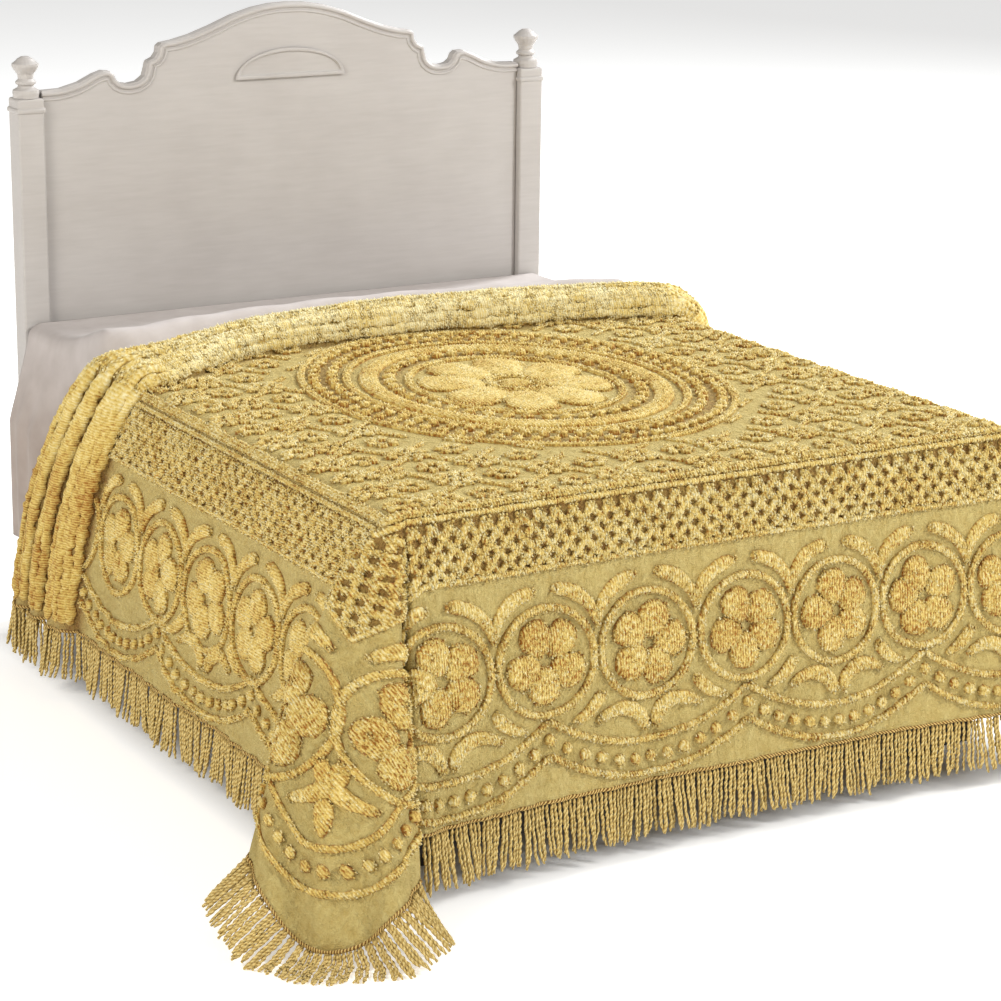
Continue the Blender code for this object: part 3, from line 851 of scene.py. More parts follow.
class Pile:
    # Gathers what one zone of pile is made of, then becomes one mesh
    def __init__(self, name, skin=pileSkin):
        self.name = name
        self.skin = skin
        self.flat = []
        self.lift = []
        self.share = []
        self.quads = [np.zeros((0, 4), int)]
        self.triangles = [np.zeros((0, 3), int)]
        self.count = 0
        self.tufts = []

    def add(self, flat, lift, share, quads, triangles):
        self.flat.append(flat.reshape(-1, 2))
        self.lift.append(lift.ravel())
        self.share.append(share.ravel())
        for kept, found in ((self.quads, quads), (self.triangles, triangles)):
            if len(found):
                kept.append(found + self.count)
        self.count += lift.size

    def stroke(self, path, width, height, closed=False, profile=strokeProfile, rough=.08, tufted=True):
        path = np.asarray(path, float)
        wide = np.broadcast_to(np.asarray(width, float), (len(path),))
        if closed:
            path = np.vstack([path, path[:1]])
            wide = np.append(wide, wide[0])
        run = lengthsAlong(path)
        if run[-1] < .006:
            return
        sections = max(int(round(run[-1] / fluff["section"])), 3)
        at = np.linspace(0, run[-1], sections + 1)
        if closed:
            at = at[:-1]
        spots = pointsAt(at, run, path)
        if closed:
            ahead = np.roll(spots, -1, axis=0) - np.roll(spots, 1, axis=0)
        else:
            ahead = np.gradient(spots, axis=0)
        swell = 1 + rough * rng.standard_normal(len(at))
        tall = height * (1 + rough * rng.standard_normal(len(at)))
        if not closed:
            ends = np.minimum(at, run[-1] - at) / (wide.max() / 2 + 1e-9)
            rounding = np.sqrt(np.clip(1 - (1 - np.clip(ends, 0, 1)) ** 2, .09, 1))
            swell = swell * rounding
            tall = tall * np.maximum(rounding, .4)
        across, up = np.array(profile).T
        sideways = across * (np.interp(at, run, wide) / 2 * swell)[:, None]
        flat = spots[:, None] + leftOf(unit(ahead))[:, None] * sideways[..., None]
        lift = up * tall[:, None]
        self.add(flat, lift, bodyShade(up) + 0 * lift, *tubeFaces(*lift.shape, closed))
        if tufted:
            self.tuftStroke(path, run, wide, height)

    def tuftStroke(self, path, run, wide, height):
        lines = max(int(round(wide.max() / fluff["across"])), 2)
        steps = max(int(run[-1] / fluff["along"]), 1)
        line, step = np.meshgrid(np.arange(lines), np.arange(steps), indexing="ij")
        part = ((line + .5) / lines * 2 - 1).ravel()
        s = ((step + .25 + .5 * (line % 2)) / steps * run[-1]).ravel()
        s = np.clip(s + rng.normal(0, .0014, s.size), 0, run[-1])
        beside = leftOf(headingAt(s, run, path, .003))
        reach = part * np.interp(s, run, wide) / 2 * .84 + rng.normal(0, .0008, s.size)
        spots = pointsAt(s, run, path) + beside * reach[:, None]
        self.setTufts(spots, height * (.88 - .55 * part**2), beside * (part * fluff["splay"])[:, None])

    def setTufts(self, spots, lift, lean, size=1.0):
        self.tufts.append(np.column_stack([spots, lift, lean, np.full(len(spots), size)]))

    def pad(self, middle, outline, height, shares=padShares, heights=padHeights, rough=.03, coarse=1.0):
        # A filled shape, its outline given round its middle
        turn = np.arctan2(outline[:, 1], outline[:, 0])
        order = np.argsort(turn)
        turn = turn[order]
        radius = np.hypot(*outline.T)[order]
        count = len(radius)
        away = np.stack([np.cos(turn), np.sin(turn)], -1)
        jitter = 1 + rough * rng.standard_normal(count)
        flat = []
        lift = []
        for share, tall in zip(shares, heights):
            reach = radius * (jitter if share == 1 else share)
            flat.append(middle + reach[:, None] * away)
            lift.append(height * tall * (1 + .05 * rng.standard_normal(count)))
        body = np.append(np.repeat(bodyShade(np.array(heights)), count), .45)
        around = np.arange(count)
        after = (around + 1) % count
        last = (len(shares) - 1) * count
        ring = np.stack([around, after, count + after, count + around], -1)
        quads = [ring + a for a in range(0, last, count)]
        fan = np.stack([last + around, last + after, np.full(count, last + count)], -1)
        under = np.stack([np.zeros(count - 2, int), around[2:], around[1:-1]], -1)
        flat = np.concatenate(flat + [[middle]])
        lift = np.append(np.concatenate(lift), height * heights[-1])
        self.add(flat, lift, body, np.concatenate(quads), np.concatenate([fan, under]))
        # Rows of tufts run along the cloth, in step from one shape to the next
        wide = fluff["across"] * coarse
        deep = fluff["along"] * coarse
        most = radius.max()
        lanes = []
        for place, pace in zip(middle, (wide, deep)):
            lanes.append(np.arange(math.floor((place - most) / pace), math.ceil((place + most) / pace) + 1))
        column, row = np.meshgrid(*lanes, indexing="ij")
        x = (column * wide + rng.normal(0, .0006, column.shape)).ravel() - middle[0]
        y = ((row + .5 * (column % 2)) * deep + rng.normal(0, .0014, column.shape)).ravel() - middle[1]
        far = np.hypot(x, y)
        edge = np.interp(np.arctan2(y, x), turn, radius, period=2 * math.pi)
        keep = far < edge * .98
        part = (far / edge)[keep]
        spots = np.stack([x, y], -1)[keep]
        lean = spots / np.maximum(edge[keep], .001)[:, None] * fluff["splay"]
        self.setTufts(middle + spots, height * (.86 - .5 * part**3), lean, coarse)

    def dot(self, middle, size, height, turn=0.0, sides=8, coarse=1.0):
        angle = roundTurns(sides)
        reach = 1 + .07 * rng.standard_normal(sides)
        x = size[0] * reach * np.cos(angle)
        y = size[1] * reach * np.sin(angle)
        outline = [x * math.cos(turn) - y * math.sin(turn), x * math.sin(turn) + y * math.cos(turn)]
        self.pad(middle, np.stack(outline, -1), height, (1, .70), (-.12, .85), 0, coarse)

    def addTufts(self):
        # Each tuft is a small four-faced point of yarn, long along the row and leaning down it
        found = np.concatenate(self.tufts)
        count = len(found)
        size = found[:, 5] * (1 + .20 * rng.standard_normal(count)).clip(.5, 1.6)
        turn = np.where(rng.random(count) < .5, math.pi / 2, -math.pi / 2) + rng.normal(0, .35, count)
        lean = found[:, 3:5] + rng.normal(0, .0014, (count, 2))
        lean[:, 1] -= fluff["droop"]
        angle = turn[:, None] + roundTurns(3)
        reach = (fluff["wide"] * size)[:, None]
        foot = found[:, None, :2] + np.stack([reach * np.cos(angle), reach * np.sin(angle) * 1.6], -1)
        flat = np.concatenate([foot, (found[:, :2] + lean)[:, None]], axis=1)
        low = found[:, 2] - .0020
        lift = np.stack([low, low, low, found[:, 2] + fluff["tall"] * size], -1)
        # Painted shade at the foot of each tuft, pale at its point
        share = np.where(np.arange(4) < 3, fluff["footShade"], 1.0) + 0 * lift
        first = (np.arange(count) * 4)[:, None]
        faces = [first + np.array(face) for face in ([0, 1, 3], [1, 2, 3], [2, 0, 3], [0, 2, 1])]
        self.add(flat, lift, share, [], np.concatenate(faces))

    def finish(self):
        if self.tufts:
            self.addTufts()
        flat = np.concatenate(self.flat)
        quads = np.concatenate(self.quads)
        triangles = np.concatenate(self.triangles)
        points = onCloth(flat, np.concatenate(self.lift) + crinkled(*flat.T))
        total = 2 * len(quads) + len(triangles)
        print(self.name, "made:", total, "triangles,", sum(len(t) for t in self.tufts), "tufts")
        return meshPiece(self.name, points, quads, triangles, self.skin, flat, np.concatenate(self.share))


def ellipse(centre, across, along, count):
    turn = roundTurns(count)
    return np.stack([centre[0] + across * np.cos(turn), centre[1] + along * np.sin(turn)], -1)


def clearOfFolds(points, past=.012):
    # True where a flat point lies short of the gathered folds at the head
    points = np.asarray(points, float).reshape(-1, 2)
    return points[:, 1] < foldStart(points[:, 0]) + past


def runsOf(path, keep):
    # The unbroken stretches of a path that are kept
    ends = np.flatnonzero(np.diff(np.concatenate([[0], keep, [0]])))
    return [path[first:last] for first, last in ends.reshape(-1, 2) if last - first > 2]


def buildMedallion():
    pile = Pile("pile_medallion", softSkin)
    across = medallion["across"]
    along = medallion["along"]
    centre = np.array([0, medallion["centre"]])

    def ring(share, wide, tall, profile=strokeProfile, rough=.08, count=260):
        pile.stroke(ellipse(centre, across * share, along * share, count), wide, tall, True, profile, rough)

    for sizes in medallion["rings"]:
        ring(*sizes)
    ring(*medallion["thick"], wideProfile, .04)
    for number, (share, count, long, deep) in enumerate(medallion["dots"]):
        for k in range(count):
            turn = 2 * math.pi * (k + .5 * (number % 2)) / count
            spot = centre + (across * share * math.cos(turn), along * share * math.sin(turn))
            way = math.atan2(along * math.cos(turn), -across * math.sin(turn))
            pile.dot(spot, (long, deep), .0125, way, 8, 1.2)
    angle = roundTurns(36)
    radial, aside = medallion["petalSize"]
    petalAt = medallion["petalAt"]
    # Full, blunt petals
    out = petalAt + radial * np.sign(np.cos(angle)) * np.abs(np.cos(angle)) ** .80
    side = aside * np.sign(np.sin(angle)) * np.abs(np.sin(angle)) ** .80 * (1 + .22 * np.cos(angle))
    for k in range(medallion["petals"]):
        way = 2 * math.pi * (k + .5) / medallion["petals"]
        u = across * (out * math.cos(way) - side * math.sin(way))
        v = along * (out * math.sin(way) + side * math.cos(way))
        middle = np.array([across * petalAt * math.cos(way), along * petalAt * math.sin(way)])
        outline = np.stack([u, v], -1) - middle
        pile.pad(centre + middle, outline, .0115, (1, .9, .74, .5), (-.12, .55, .82, .9))
    share, wide = medallion["centreRing"]
    ring(share, wide, .0125, count=80)
    pile.dot(centre, (medallion["centrePad"],) * 2, .0115, 0, 16)
    return pile.finish()


# Field: two sizes of rosette in turn, the large ones linked cornerwise
field = {
    "across": 0.1075,
    "along": 0.1145,
    "large": (8, .0375, .0158, .0175),
    "small": (6, .0255, .0140, .0160),
    "middle": 0.0118,
    "reach": (.035, .049),
    "clear": (1.065, 1.09),  # shares of the medallion that the small and large rosettes keep clear of
    "linkWide": 0.0185,
    "linkFrom": 0.038,
    "footBorder": 0.0215,
    "sideBorder": 0.0400,
    "borderWide": 0.0240,
}


def rosette(pile, middle, big):
    turn = rng.uniform(0, 2 * math.pi)
    count, reach, wide, deep = field["large" if big else "small"]
    for k in range(count):
        way = turn + 2 * math.pi * (k + rng.normal(0, .05)) / count
        far = reach * (1 + rng.normal(0, .04))
        pile.dot(middle + (far * math.cos(way), far * math.sin(way)), (wide, deep * .82), .0080, way, 7)
    if big:
        pile.dot(middle, (field["middle"],) * 2, .0080, 0, 7)
        for k in (0, 2, 4, 6):
            way = turn + 2 * math.pi * k / count
            pile.stroke([middle + (r * math.cos(way), r * math.sin(way)) for r in (.006, .028)], .0100, .0062)


def layLink(links, start, end, half):
    # A wavy stroke from one large rosette to the next, kept clear of both
    s = np.linspace(0, 1, 60)
    path = np.linspace(start, end, 60) + leftOf(unit(end - start)) * (.006 * np.sin(2 * math.pi * s))[:, None]
    keep = (medallionShare(*path.T) > 1.0) & clearOfFolds(path) & (np.abs(path[:, 0]) < half)
    for spot in (start, end):
        keep &= np.hypot(*(path - spot).T) >= field["linkFrom"]
    for piece in runsOf(path, keep):
        links.stroke(piece, field["linkWide"], .0065)


def buildField():
    links = Pile("pile_field_links")
    roses = Pile("pile_field_rosettes")
    side = edgeAcross + field["sideBorder"]
    half = side - .014
    foot = -field["footBorder"]
    for row in range(-8, 16):
        v = medallion["centre"] + field["along"] * row
        for column in range(-7, 8):
            u = min(max(field["across"] * column, .036 - half), half - .036)
            big = (row + column) % 2 == 1
            reach = field["reach"][big]
            if abs(u) + reach > half + .030 or v - reach < foot - .02:
                continue
            if not clearOfFolds((u, v - .6 * reach))[0]:
                continue
            moved = np.array([u, v]) + rng.normal(0, .0022, 2)
            if medallionShare(u, v) > field["clear"][big]:
                rosette(roses, moved, big)
            for way in (-1, 1):
                end = np.array([u + way * field["across"], v + field["along"]])
                if big and abs(end[0]) <= half + .02:
                    layLink(links, np.array([u, v]), end, half)
    ends = [float(foldStart(way * side)) + .02 for way in (-1, 1)]
    path = [(-side, ends[0]), (-side, foot), (side, foot), (side, ends[1])]
    links.stroke(path, field["borderWide"], .0085)
    return [links.finish(), roses.finish()]


# Band: a net of crossing strokes between the field and the plain border
band = {
    "pitch": 0.0415,
    "wide": 0.0190,
    "tall": 0.0095,
    "edgeWide": 0.0150,
    "footFrom": 0.046,
    "footTo": 0.170,
    "sideFrom": 0.066,
    "sideTo": 0.201,
    "cornerLong": 0.06,
}


def inBand(u, v):
    a = np.abs(u) - edgeAcross
    inner = (a < band["sideFrom"]) & (-v < band["footFrom"])
    depth = np.interp(a, (0, band["cornerLong"]), (band["footTo"], band["sideTo"]))
    return (a < band["sideTo"]) & (-v < depth) & ~inner


def buildBand():
    pieces = []
    edge = edgeAcross + .23
    v = np.arange(-.23, 2.2, .004)
    count = int((edge + 2.2) / band["pitch"]) + 2
    inset = band["edgeWide"] * .2
    corner = edgeAcross + band["cornerLong"]
    for way, name in ((1, "pile_band_one"), (-1, "pile_band_two")):
        pile = Pile(name)
        for number in range(-count, count):
            u = way * (v + .06) + number * band["pitch"] + .0012 * np.sin(v * 70 + number)
            path = np.stack([u, v], -1)
            for piece in runsOf(path, (np.abs(u) < edge) & inBand(u, v) & clearOfFolds(path)):
                if len(piece) > 3:
                    pile.stroke(piece, band["wide"] * rng.uniform(.9, 1.1), band["tall"], rough=.12)
        # A close row of tufts finishes each edge of the net
        if way > 0:
            side = edgeAcross + band["sideFrom"] - .006
            low = .006 - band["footFrom"]
            middle = []
        else:
            side = edgeAcross + band["sideTo"] - inset
            low = inset - band["sideTo"]
            foot = inset - band["footTo"]
            middle = [(-corner, low), (-edgeAcross, foot), (edgeAcross, foot), (corner, low)]
        end = float(foldStart(-side)) + .01
        path = [(-side, end), (-side, low)] + middle + [(side, low), (side, end)]
        pile.stroke(path, band["edgeWide"], band["tall"])
        pieces.append(pile.finish())
    return pieces


# Border: flowers in rings, leaves, and swags with dots between two lines. Places are run and depth.
border = {
    "pitch": 0.2415,
    "footRing": 0.362,
    "sideRing": 0.387,
    "ring": 0.1120,
    "ringWide": 0.0190,
    "tall": 0.0100,
    "sideFirst": 0.222 - edgeFoot,
    "petalAt": 0.0530,
    "petalLong": 0.0425,
    "petalWide": 0.0385,
    "lineWide": 0.0170,
    "dot": 0.0140,
    "dotPitch": 0.0405,
    "swags": ((0.488, 0.567), (0.560, 0.640)),
    "leafWide": ((0, .10, .38, .65, .88, 1), (.018, .030, .034, .028, .020, .014)),
    "overRing": ((8, .151), (22, .152), (36, .151), (48, .147), (57, .141), (66, .133)),
    "bigLeaf": ((.010, .545), (.024, .512), (.058, .492), (.094, .494), (.128, .510)),
    "smallLeaf": ((.112, .446), (.128, .468), (.152, .488), (.186, .500)),
    "smallRing": ((-.0205, .375), .056),
}


def leaf(pile, points, scale=1.0, height=.0110):
    path = smoothPath(points)
    if clearOfFolds(path, -.005).all():
        width = np.interp(np.linspace(0, 1, len(path)), *border["leafWide"]) * scale
        pile.stroke(path, width, height, False, wideProfile, .05)


def flower(pile, place, centre, size, stretch):
    turn = rng.uniform(0, 2 * math.pi)
    angle = roundTurns(26)
    for k in range(5):
        way = turn + 2 * math.pi * k / 5 + rng.normal(0, .07)
        reach = border["petalAt"] * size * rng.uniform(.95, 1.05)
        long = border["petalLong"] * size * np.cos(angle) + reach
        wide = border["petalWide"] * size * (1 + .16 * np.cos(angle)) * np.sin(angle)
        wide = wide * (1 + .05 * np.cos(3 * angle + k) + rng.normal(0, .030, 26))
        # The petal's middle goes with its outline
        long = np.append(long, reach)
        wide = np.append(wide, 0)
        x = centre[0] + stretch[0] * (long * math.cos(way) - wide * math.sin(way))
        y = centre[1] + stretch[1] * (long * math.sin(way) + wide * math.cos(way))
        points = place(np.stack([x, y], -1))
        pile.pad(points[-1], points[:-1] - points[-1], .0120)


def ringed(pile, flowers, place, centre, radius, leaves=True, stretch=(1.0, 1.0)):
    # One ring with its flower, and the two leaves over it
    path = place(ellipse(centre, radius * stretch[0], radius * stretch[1], 90))
    keep = clearOfFolds(path)
    for piece in [path] if keep.all() else runsOf(path, keep):
        pile.stroke(piece, border["ringWide"], border["tall"], bool(keep.all()))
    if clearOfFolds(place(np.array([centre])), -.03)[0]:
        flower(flowers, place, centre, radius / border["ring"], stretch)
    turn, reach = np.array(border["overRing"]).T
    turn = np.radians(turn)
    for side in (-1, 1) if leaves else ():
        points = np.stack([centre[0] + side * reach * np.sin(turn), centre[1] - reach * np.cos(turn)], -1)
        leaf(pile, place(points))


def swags(pile, place, start, length):
    # Two lines that hang between two rings, with dots between them
    s = np.linspace(0, 1, 50)
    for high, low in border["swags"]:
        depth = high + (low - high) * (1 - np.abs(2 * s - 1) ** 2.1)
        points = place(np.stack([length * s + start, depth], -1))
        for piece in runsOf(points, clearOfFolds(points)):
            pile.stroke(piece, border["lineWide"], .0095, rough=.12)
    high, low = np.mean(border["swags"], axis=0)
    count = max(round(length / border["dotPitch"]), 3)
    for k in range(count):
        sag = 1 - abs(2 * k / count - 1) ** 2.1
        spot = place(np.array([[start + length * k / count, high + sag * (low - high) + .002]]))[0]
        if clearOfFolds(spot)[0]:
            pile.dot(spot, (border["dot"],) * 2, .0125)


def swagLeaves(pile, place, middle):
    for side in (-1, 1):
        for name, scale in (("bigLeaf", 1.10), ("smallLeaf", .95)):
            leaf(pile, place(np.array([(middle + side * s, t) for s, t in border[name]])), scale)


def onFoot(points):
    # The border sits a little to the right of the bed's middle
    shift = np.maximum(.033 - .0033 * (points[:, 0] / border["pitch"]) ** 2, 0)
    return np.stack([points[:, 0] + shift, -points[:, 1]], -1)


cornerMotif = {
    "ring": ((.400, .228), (1.17, 1.08)),
    "nearLeaf": ((.325, .082), (.288, .100), (.255, .138), (.238, .200)),
    "vLeaf": ((.350, .378), (.385, .398), (.432, .396), (.488, .366)),
    "drop": ((.450, .440), .040, .019),
    "lines": (
        ((.212, .490), (.30, .500), (.40, .514), (.470, .498),
         (.514, .450), (.514, .40), (.500, .30), (.490, .212)),
        ((.212, .562), (.30, .582), (.43, .594), (.520, .570),
         (.570, .520), (.594, .43), (.582, .30), (.562, .212)),
    ),
    "dots": 17,
}


def buildCorner(pile, flowers, onCorner):
    centre, stretch = cornerMotif["ring"]
    for order in (1, -1):
        def turned(points, order=order):
            return onCorner(np.asarray(points, float)[:, ::order])

        ringed(pile, flowers, turned, centre, border["ring"], False, stretch)
        leaf(pile, turned(cornerMotif["nearLeaf"]), 1.25)
        leaf(pile, turned(cornerMotif["vLeaf"]), 1.20)
    middle, long, wide = cornerMotif["drop"]
    turn = roundTurns(26)
    long = long * np.cos(turn)
    wide = wide * np.sin(turn) * (1 - .25 * np.cos(turn))
    outline = np.array(middle) + np.stack([long - wide, long + wide], -1) * .7071
    middle = onCorner(np.array([middle]))[0]
    pile.pad(middle, onCorner(outline) - middle, .0095)
    lines = [smoothPath(points, 120) for points in cornerMotif["lines"]]
    for line in lines:
        pile.stroke(onCorner(line), border["lineWide"], .0080)
    between = (lines[0] + lines[1]) / 2
    run = lengthsAlong(between)
    for spot in onCorner(pointsAt(np.linspace(0, run[-1], cornerMotif["dots"]), run, between)):
        pile.dot(spot, (.0130, .0150), .0125)


def buildBorder():
    flowers = Pile("pile_flowers", flowerSkin)
    pitch = border["pitch"]
    pile = Pile("pile_border_foot")
    for k in range(-3, 4):
        ringed(pile, flowers, onFoot, (k * pitch, border["footRing"]), border["ring"])
    for k in (-4, -2, 0, 2):
        first = max(k * pitch, -edgeAcross - .205)
        last = min((k + 2) * pitch, edgeAcross + .205)
        swags(pile, onFoot, first, last - first)
        swagLeaves(pile, onFoot, (k + 1) * pitch)
    made = [pile.finish()]
    for side, name in ((-1, "pile_border_left"), (1, "pile_border_right")):
        pile = Pile(name, softSkin)

        def onSide(points, side=side):
            return np.stack([side * (edgeAcross + points[:, 1]), points[:, 0]], -1)

        def onCorner(points, side=side):
            return np.stack([side * (edgeAcross + points[:, 0]), -points[:, 1]], -1)

        first = border["sideFirst"]
        for k in range(0, 8):
            centre = (first + k * pitch, border["sideRing"])
            if not clearOfFolds((side * (edgeAcross + border["sideRing"]), centre[0] - .06))[0]:
                break
            ringed(pile, pile, onSide, centre, border["ring"])
        ringed(pile, flowers, onSide, *border["smallRing"], False)
        buildCorner(pile, flowers, onCorner)
        swags(pile, onSide, -.205, first + pitch + .190)
        swagLeaves(pile, onSide, .5 * (first + pitch - .205) + .02)
        for k in (1, 3, 5):
            start = first + k * pitch - .015
            swags(pile, onSide, start, 2 * pitch)
            if not clearOfFolds((side * (edgeAcross + .5), start + 2 * pitch))[0]:
                break
            swagLeaves(pile, onSide, start + pitch)
        made.append(pile.finish())
    return made + [flowers.finish()]


# The gathered end: fat ropes of pile run along the folds, from one hem over the roll to the other
gathered = {
    "lane": .0230,
    "wide": .0285,
    "tall": .0105,
    "groove": (.036, .010),  # bare width beside a crease, on the side falls and on the roll
    "start": .010,
    "lump": .052,
    "meet": edgeAcross + .03,  # where the roll's ropes and those of the side falls pass each other
}


def buildRopes(name, first, last, groove, tufted):
    pile = Pile(name, ropeSkin)
    u = np.linspace(first, last, 420)
    start = foldStart(u)
    marks = foldMarks(u)
    for number, (low, high) in enumerate(zip(marks[:-1], marks[1:])):
        low = low + (groove if number else gathered["start"])
        high = high - groove
        lanes = max(int(round(float(np.mean(high - low)) / gathered["lane"])), 1)
        for lane in range(lanes):
            wander = .003 * np.sin(u * 17 + lane * 2.1 + number) + .0018 * np.sin(u * 47 + lane)
            path = np.stack([u, start + low + (high - low) * ((lane + .5) / lanes) + wander], -1)
            # Soft lumps along each rope
            turn = 2 * math.pi * u / gathered["lump"] + lane * 2.4 + 3 * np.sin(9 * u)
            lumps = 1 + .20 * np.sin(turn) + .10 * np.sin(2.3 * turn)
            pile.stroke(path, gathered["wide"] * lumps, gathered["tall"], False, wideProfile, .16, tufted)
    return pile.finish()


def buildGathered():
    meet = gathered["meet"]
    end = edgeAcross + drop - .022
    onFalls, onRoll = gathered["groove"]
    return [
        buildRopes("pile_roll", -meet - .01, meet + .01, onRoll, True),
        buildRopes("pile_pleats_left", -meet, -end, onFalls, False),
        buildRopes("pile_pleats_right", meet, end, onFalls, False),
    ]


pilePieces = [buildMedallion()] + buildField() + buildBand() + buildBorder() + buildGathered()


# ---- Hem cord and fringe
fringe = {
    "long": 0.116,
    "pitch": 0.0098,
    "radius": 0.0041,
    "sections": 16,
    "splay": 0.85,
    "low": 0.0045,
    "bunch": 0.034,
    "drift": 0.17,
    "fan": (25, 69, 6),  # degrees round the corner where the strands lie out, and how soon they do
    "cordWide": 0.0085,
    "cordTall": 0.0040,
}


def hemPath():
    # Flat places round the hem from the left head end to the right one
    side = edgeAcross + drop
    ends = [float(foldStart(way * side) + foldLength(way * side)) - .004 for way in (-1, 1)]
    left = [(-side, v) for v in np.arange(ends[0], 0, -.004)]
    phi = np.radians(np.linspace(90, 0, 260))
    reach = hemDistance(np.linspace(90, 0, 260))
    bend = np.stack([-(edgeAcross + reach * np.sin(phi)), -reach * np.cos(phi)], -1)
    foot = [(u, -drop) for u in np.arange(-edgeAcross, edgeAcross, .004)]
    right = [(side, v) for v in np.arange(0, ends[1], .004)]
    path = np.concatenate([left, bend, foot, bend[::-1] * (-1, 1), right])
    gaps = np.hypot(*np.diff(path, axis=0).T)
    return path[np.concatenate([[True], gaps > 1e-5])]


def strandSpots(path, run):
    # Where along the hem each strand is sewn: half as many again where they fan out on the floor
    at = np.arange(.004, run[-1] - .003, fringe["pitch"])
    beyond = np.interp(at, run, np.maximum(np.abs(path[:, 0]) - edgeAcross, 0))
    ahead = np.interp(at, run, np.maximum(-path[:, 1], 0))
    fanned = (beyond > .42 * ahead) & (ahead > .38 * beyond) & (beyond > .1)
    at = np.sort(np.concatenate([at, at[fanned][::2] + fringe["pitch"] / 2]))
    return at + rng.normal(0, .0008, len(at))


def strandLines(at, run, path, place, share):
    # The middle line of every strand, and the way out from the bed at each
    spots = pointsAt(at, run, path)
    out = -leftOf(headingAt(at, run, path, .006))
    start = onCloth(spots, crinkled(*spots.T))
    fall = unit(onCloth(spots + out * .01) - onCloth(spots))
    along = unit(headingAt(at, run, place, .02) * (1, 1, 0))
    outward = np.stack([along[:, 1], -along[:, 0], 0 * at], -1)
    a = np.abs(spots[:, 0]) - edgeAcross
    phi = np.degrees(np.arctan2(np.maximum(a, 0), np.maximum(-spots[:, 1], 1e-6)))
    first, last, soft = fringe["fan"]
    loose = np.clip((phi - first) / soft, 0, 1) * np.clip((last - phi) / soft, 0, 1)
    loose = np.where((a > 0) & (spots[:, 1] < 0), loose, 0)
    count = len(at)
    long = fringe["long"] * (1 + rng.normal(0, .035, count))
    # Strands bunch and drift together a little, more toward their ends
    bunch = np.round(at / fringe["bunch"] + .35 * np.sin(at * 37)) * fringe["bunch"]
    drift = (bunch - at) * fringe["drift"] + .007 * np.sin(at * 23) + rng.normal(0, .0022, count)
    curl = rng.normal(0, .5, count)[:, None]
    push = .008 * np.sin(at * 31 + 1) + rng.normal(0, .0034, count)
    way = unit(fall + outward * (fringe["splay"] * loose)[:, None])
    # Down to the floor, then out along it
    far = long[:, None] * share
    toFloor = np.maximum(start[:, 2] - fringe["low"], 0) / np.maximum(-way[:, 2], .05)
    hang = np.minimum(far, toFloor[:, None])
    line = start[:, None] + way[:, None] * hang[..., None] + outward[:, None] * (far - hang)[..., None]
    sway = share**1.5
    hook = curl * .008 * np.clip((share - .7) / .3, 0, 1) ** 2
    wobble = .0011 * np.sin(share * 15 + 9 * curl)
    line = line + along[:, None] * (drift[:, None] * sway + hook + wobble)[..., None]
    line = line + outward[:, None] * (push[:, None] * sway * (1 - .8 * loose[:, None]))[..., None]
    line[..., 2] = np.maximum(line[..., 2], fringe["low"])
    return spots, line, outward


def buildFringe():
    path = hemPath()
    place = onCloth(path)
    run = np.concatenate([[0], np.cumsum(np.linalg.norm(np.diff(place, axis=0), axis=1))])
    at = strandSpots(path, run)
    count = len(at)
    rows = fringe["sections"]
    share = np.linspace(0, 1, rows)
    spots, line, outward = strandLines(at, run, path, place, share)
    # Rope: a square section that turns and pinches as it goes down
    ahead = unit(np.gradient(line, axis=1))
    beside = unit(np.cross(ahead, outward[:, None] + 0 * ahead))
    third = np.cross(ahead, beside)
    twist = np.arange(rows)[None, :] * math.radians(45) + rng.uniform(0, 6, count)[:, None]
    beat = 1 + .13 * np.where(np.arange(rows) % 2, 1, -1)
    thick = fringe["radius"] * beat * np.interp(share, (0, .03, .93, 1), (.8, 1, 1, .6))
    thick = thick[:, None] * (1 + rng.normal(0, .08, count))[:, None, None]
    rings = []
    for angle in roundTurns(4):
        turned = (twist + angle)[..., None]
        rings.append(line + thick * (beside * np.cos(turned) + third * np.sin(turned)))
    points = np.stack(rings, 2)
    # Painted shade: alternate faces round each strand's twist are darker, and every strand is darker near the
    # hem
    check = (np.arange(rows)[:, None] + np.arange(4)) % 2
    lift = np.where(check == 0, 1.0, .30) * (.75 + .25 * np.minimum(share * 6, 1))[:, None]
    lift = lift + np.zeros((count, 1, 1))
    base = np.arange(rows - 1)[:, None] * 4 + np.arange(4)
    after = np.arange(rows - 1)[:, None] * 4 + (np.arange(4) + 1) % 4
    quads = np.stack([base, after, after + 4, base + 4], -1).reshape(-1, 4)
    strand = np.concatenate([quads, [[0, 3, 2, 1]], np.array([[0, 1, 2, 3]]) + (rows - 1) * 4])
    zones = (
        ("fringe_left", spots[:, 0] < -edgeAcross),
        ("fringe_foot", np.abs(spots[:, 0]) <= edgeAcross),
        ("fringe_right", spots[:, 0] > edgeAcross),
    )
    made = []
    for name, pick in zones:
        number = int(pick.sum())
        faces = (strand + (np.arange(number) * rows * 4)[:, None, None]).reshape(-1, 4)
        flat = np.repeat(spots[pick], rows * 4, axis=0)
        strands = points[pick].reshape(-1, 3)
        made.append(meshPiece(name, strands, faces, [], cordSkin, flat, lift[pick].ravel()))
        print(name, "made:", number, "strands,", 2 * len(faces), "triangles")
    return made


def buildHemCord():
    pile = Pile("hem_cord", headerSkin)
    path = hemPath()
    path = path + leftOf(unit(np.gradient(path, axis=0))) * .004
    pile.stroke(path, fringe["cordWide"], fringe["cordTall"], tufted=False, rough=.16)
    return pile.finish()


fringePieces = buildFringe()
hemCord = buildHemCord()


# ---- White sheet between the gathered end and the headboard
sheet = {
    "half": 0.762 + 0.0035,
    "bend": 0.036 + 0.0035,
    "top": 0.7997 + 0.0003 + 0.0015,
    "drop": 0.55,
    "ridge": 0.075,
    "head": 2.022,
    "thick": 0.0012,
    "flare": (0.050, 0.012),
}


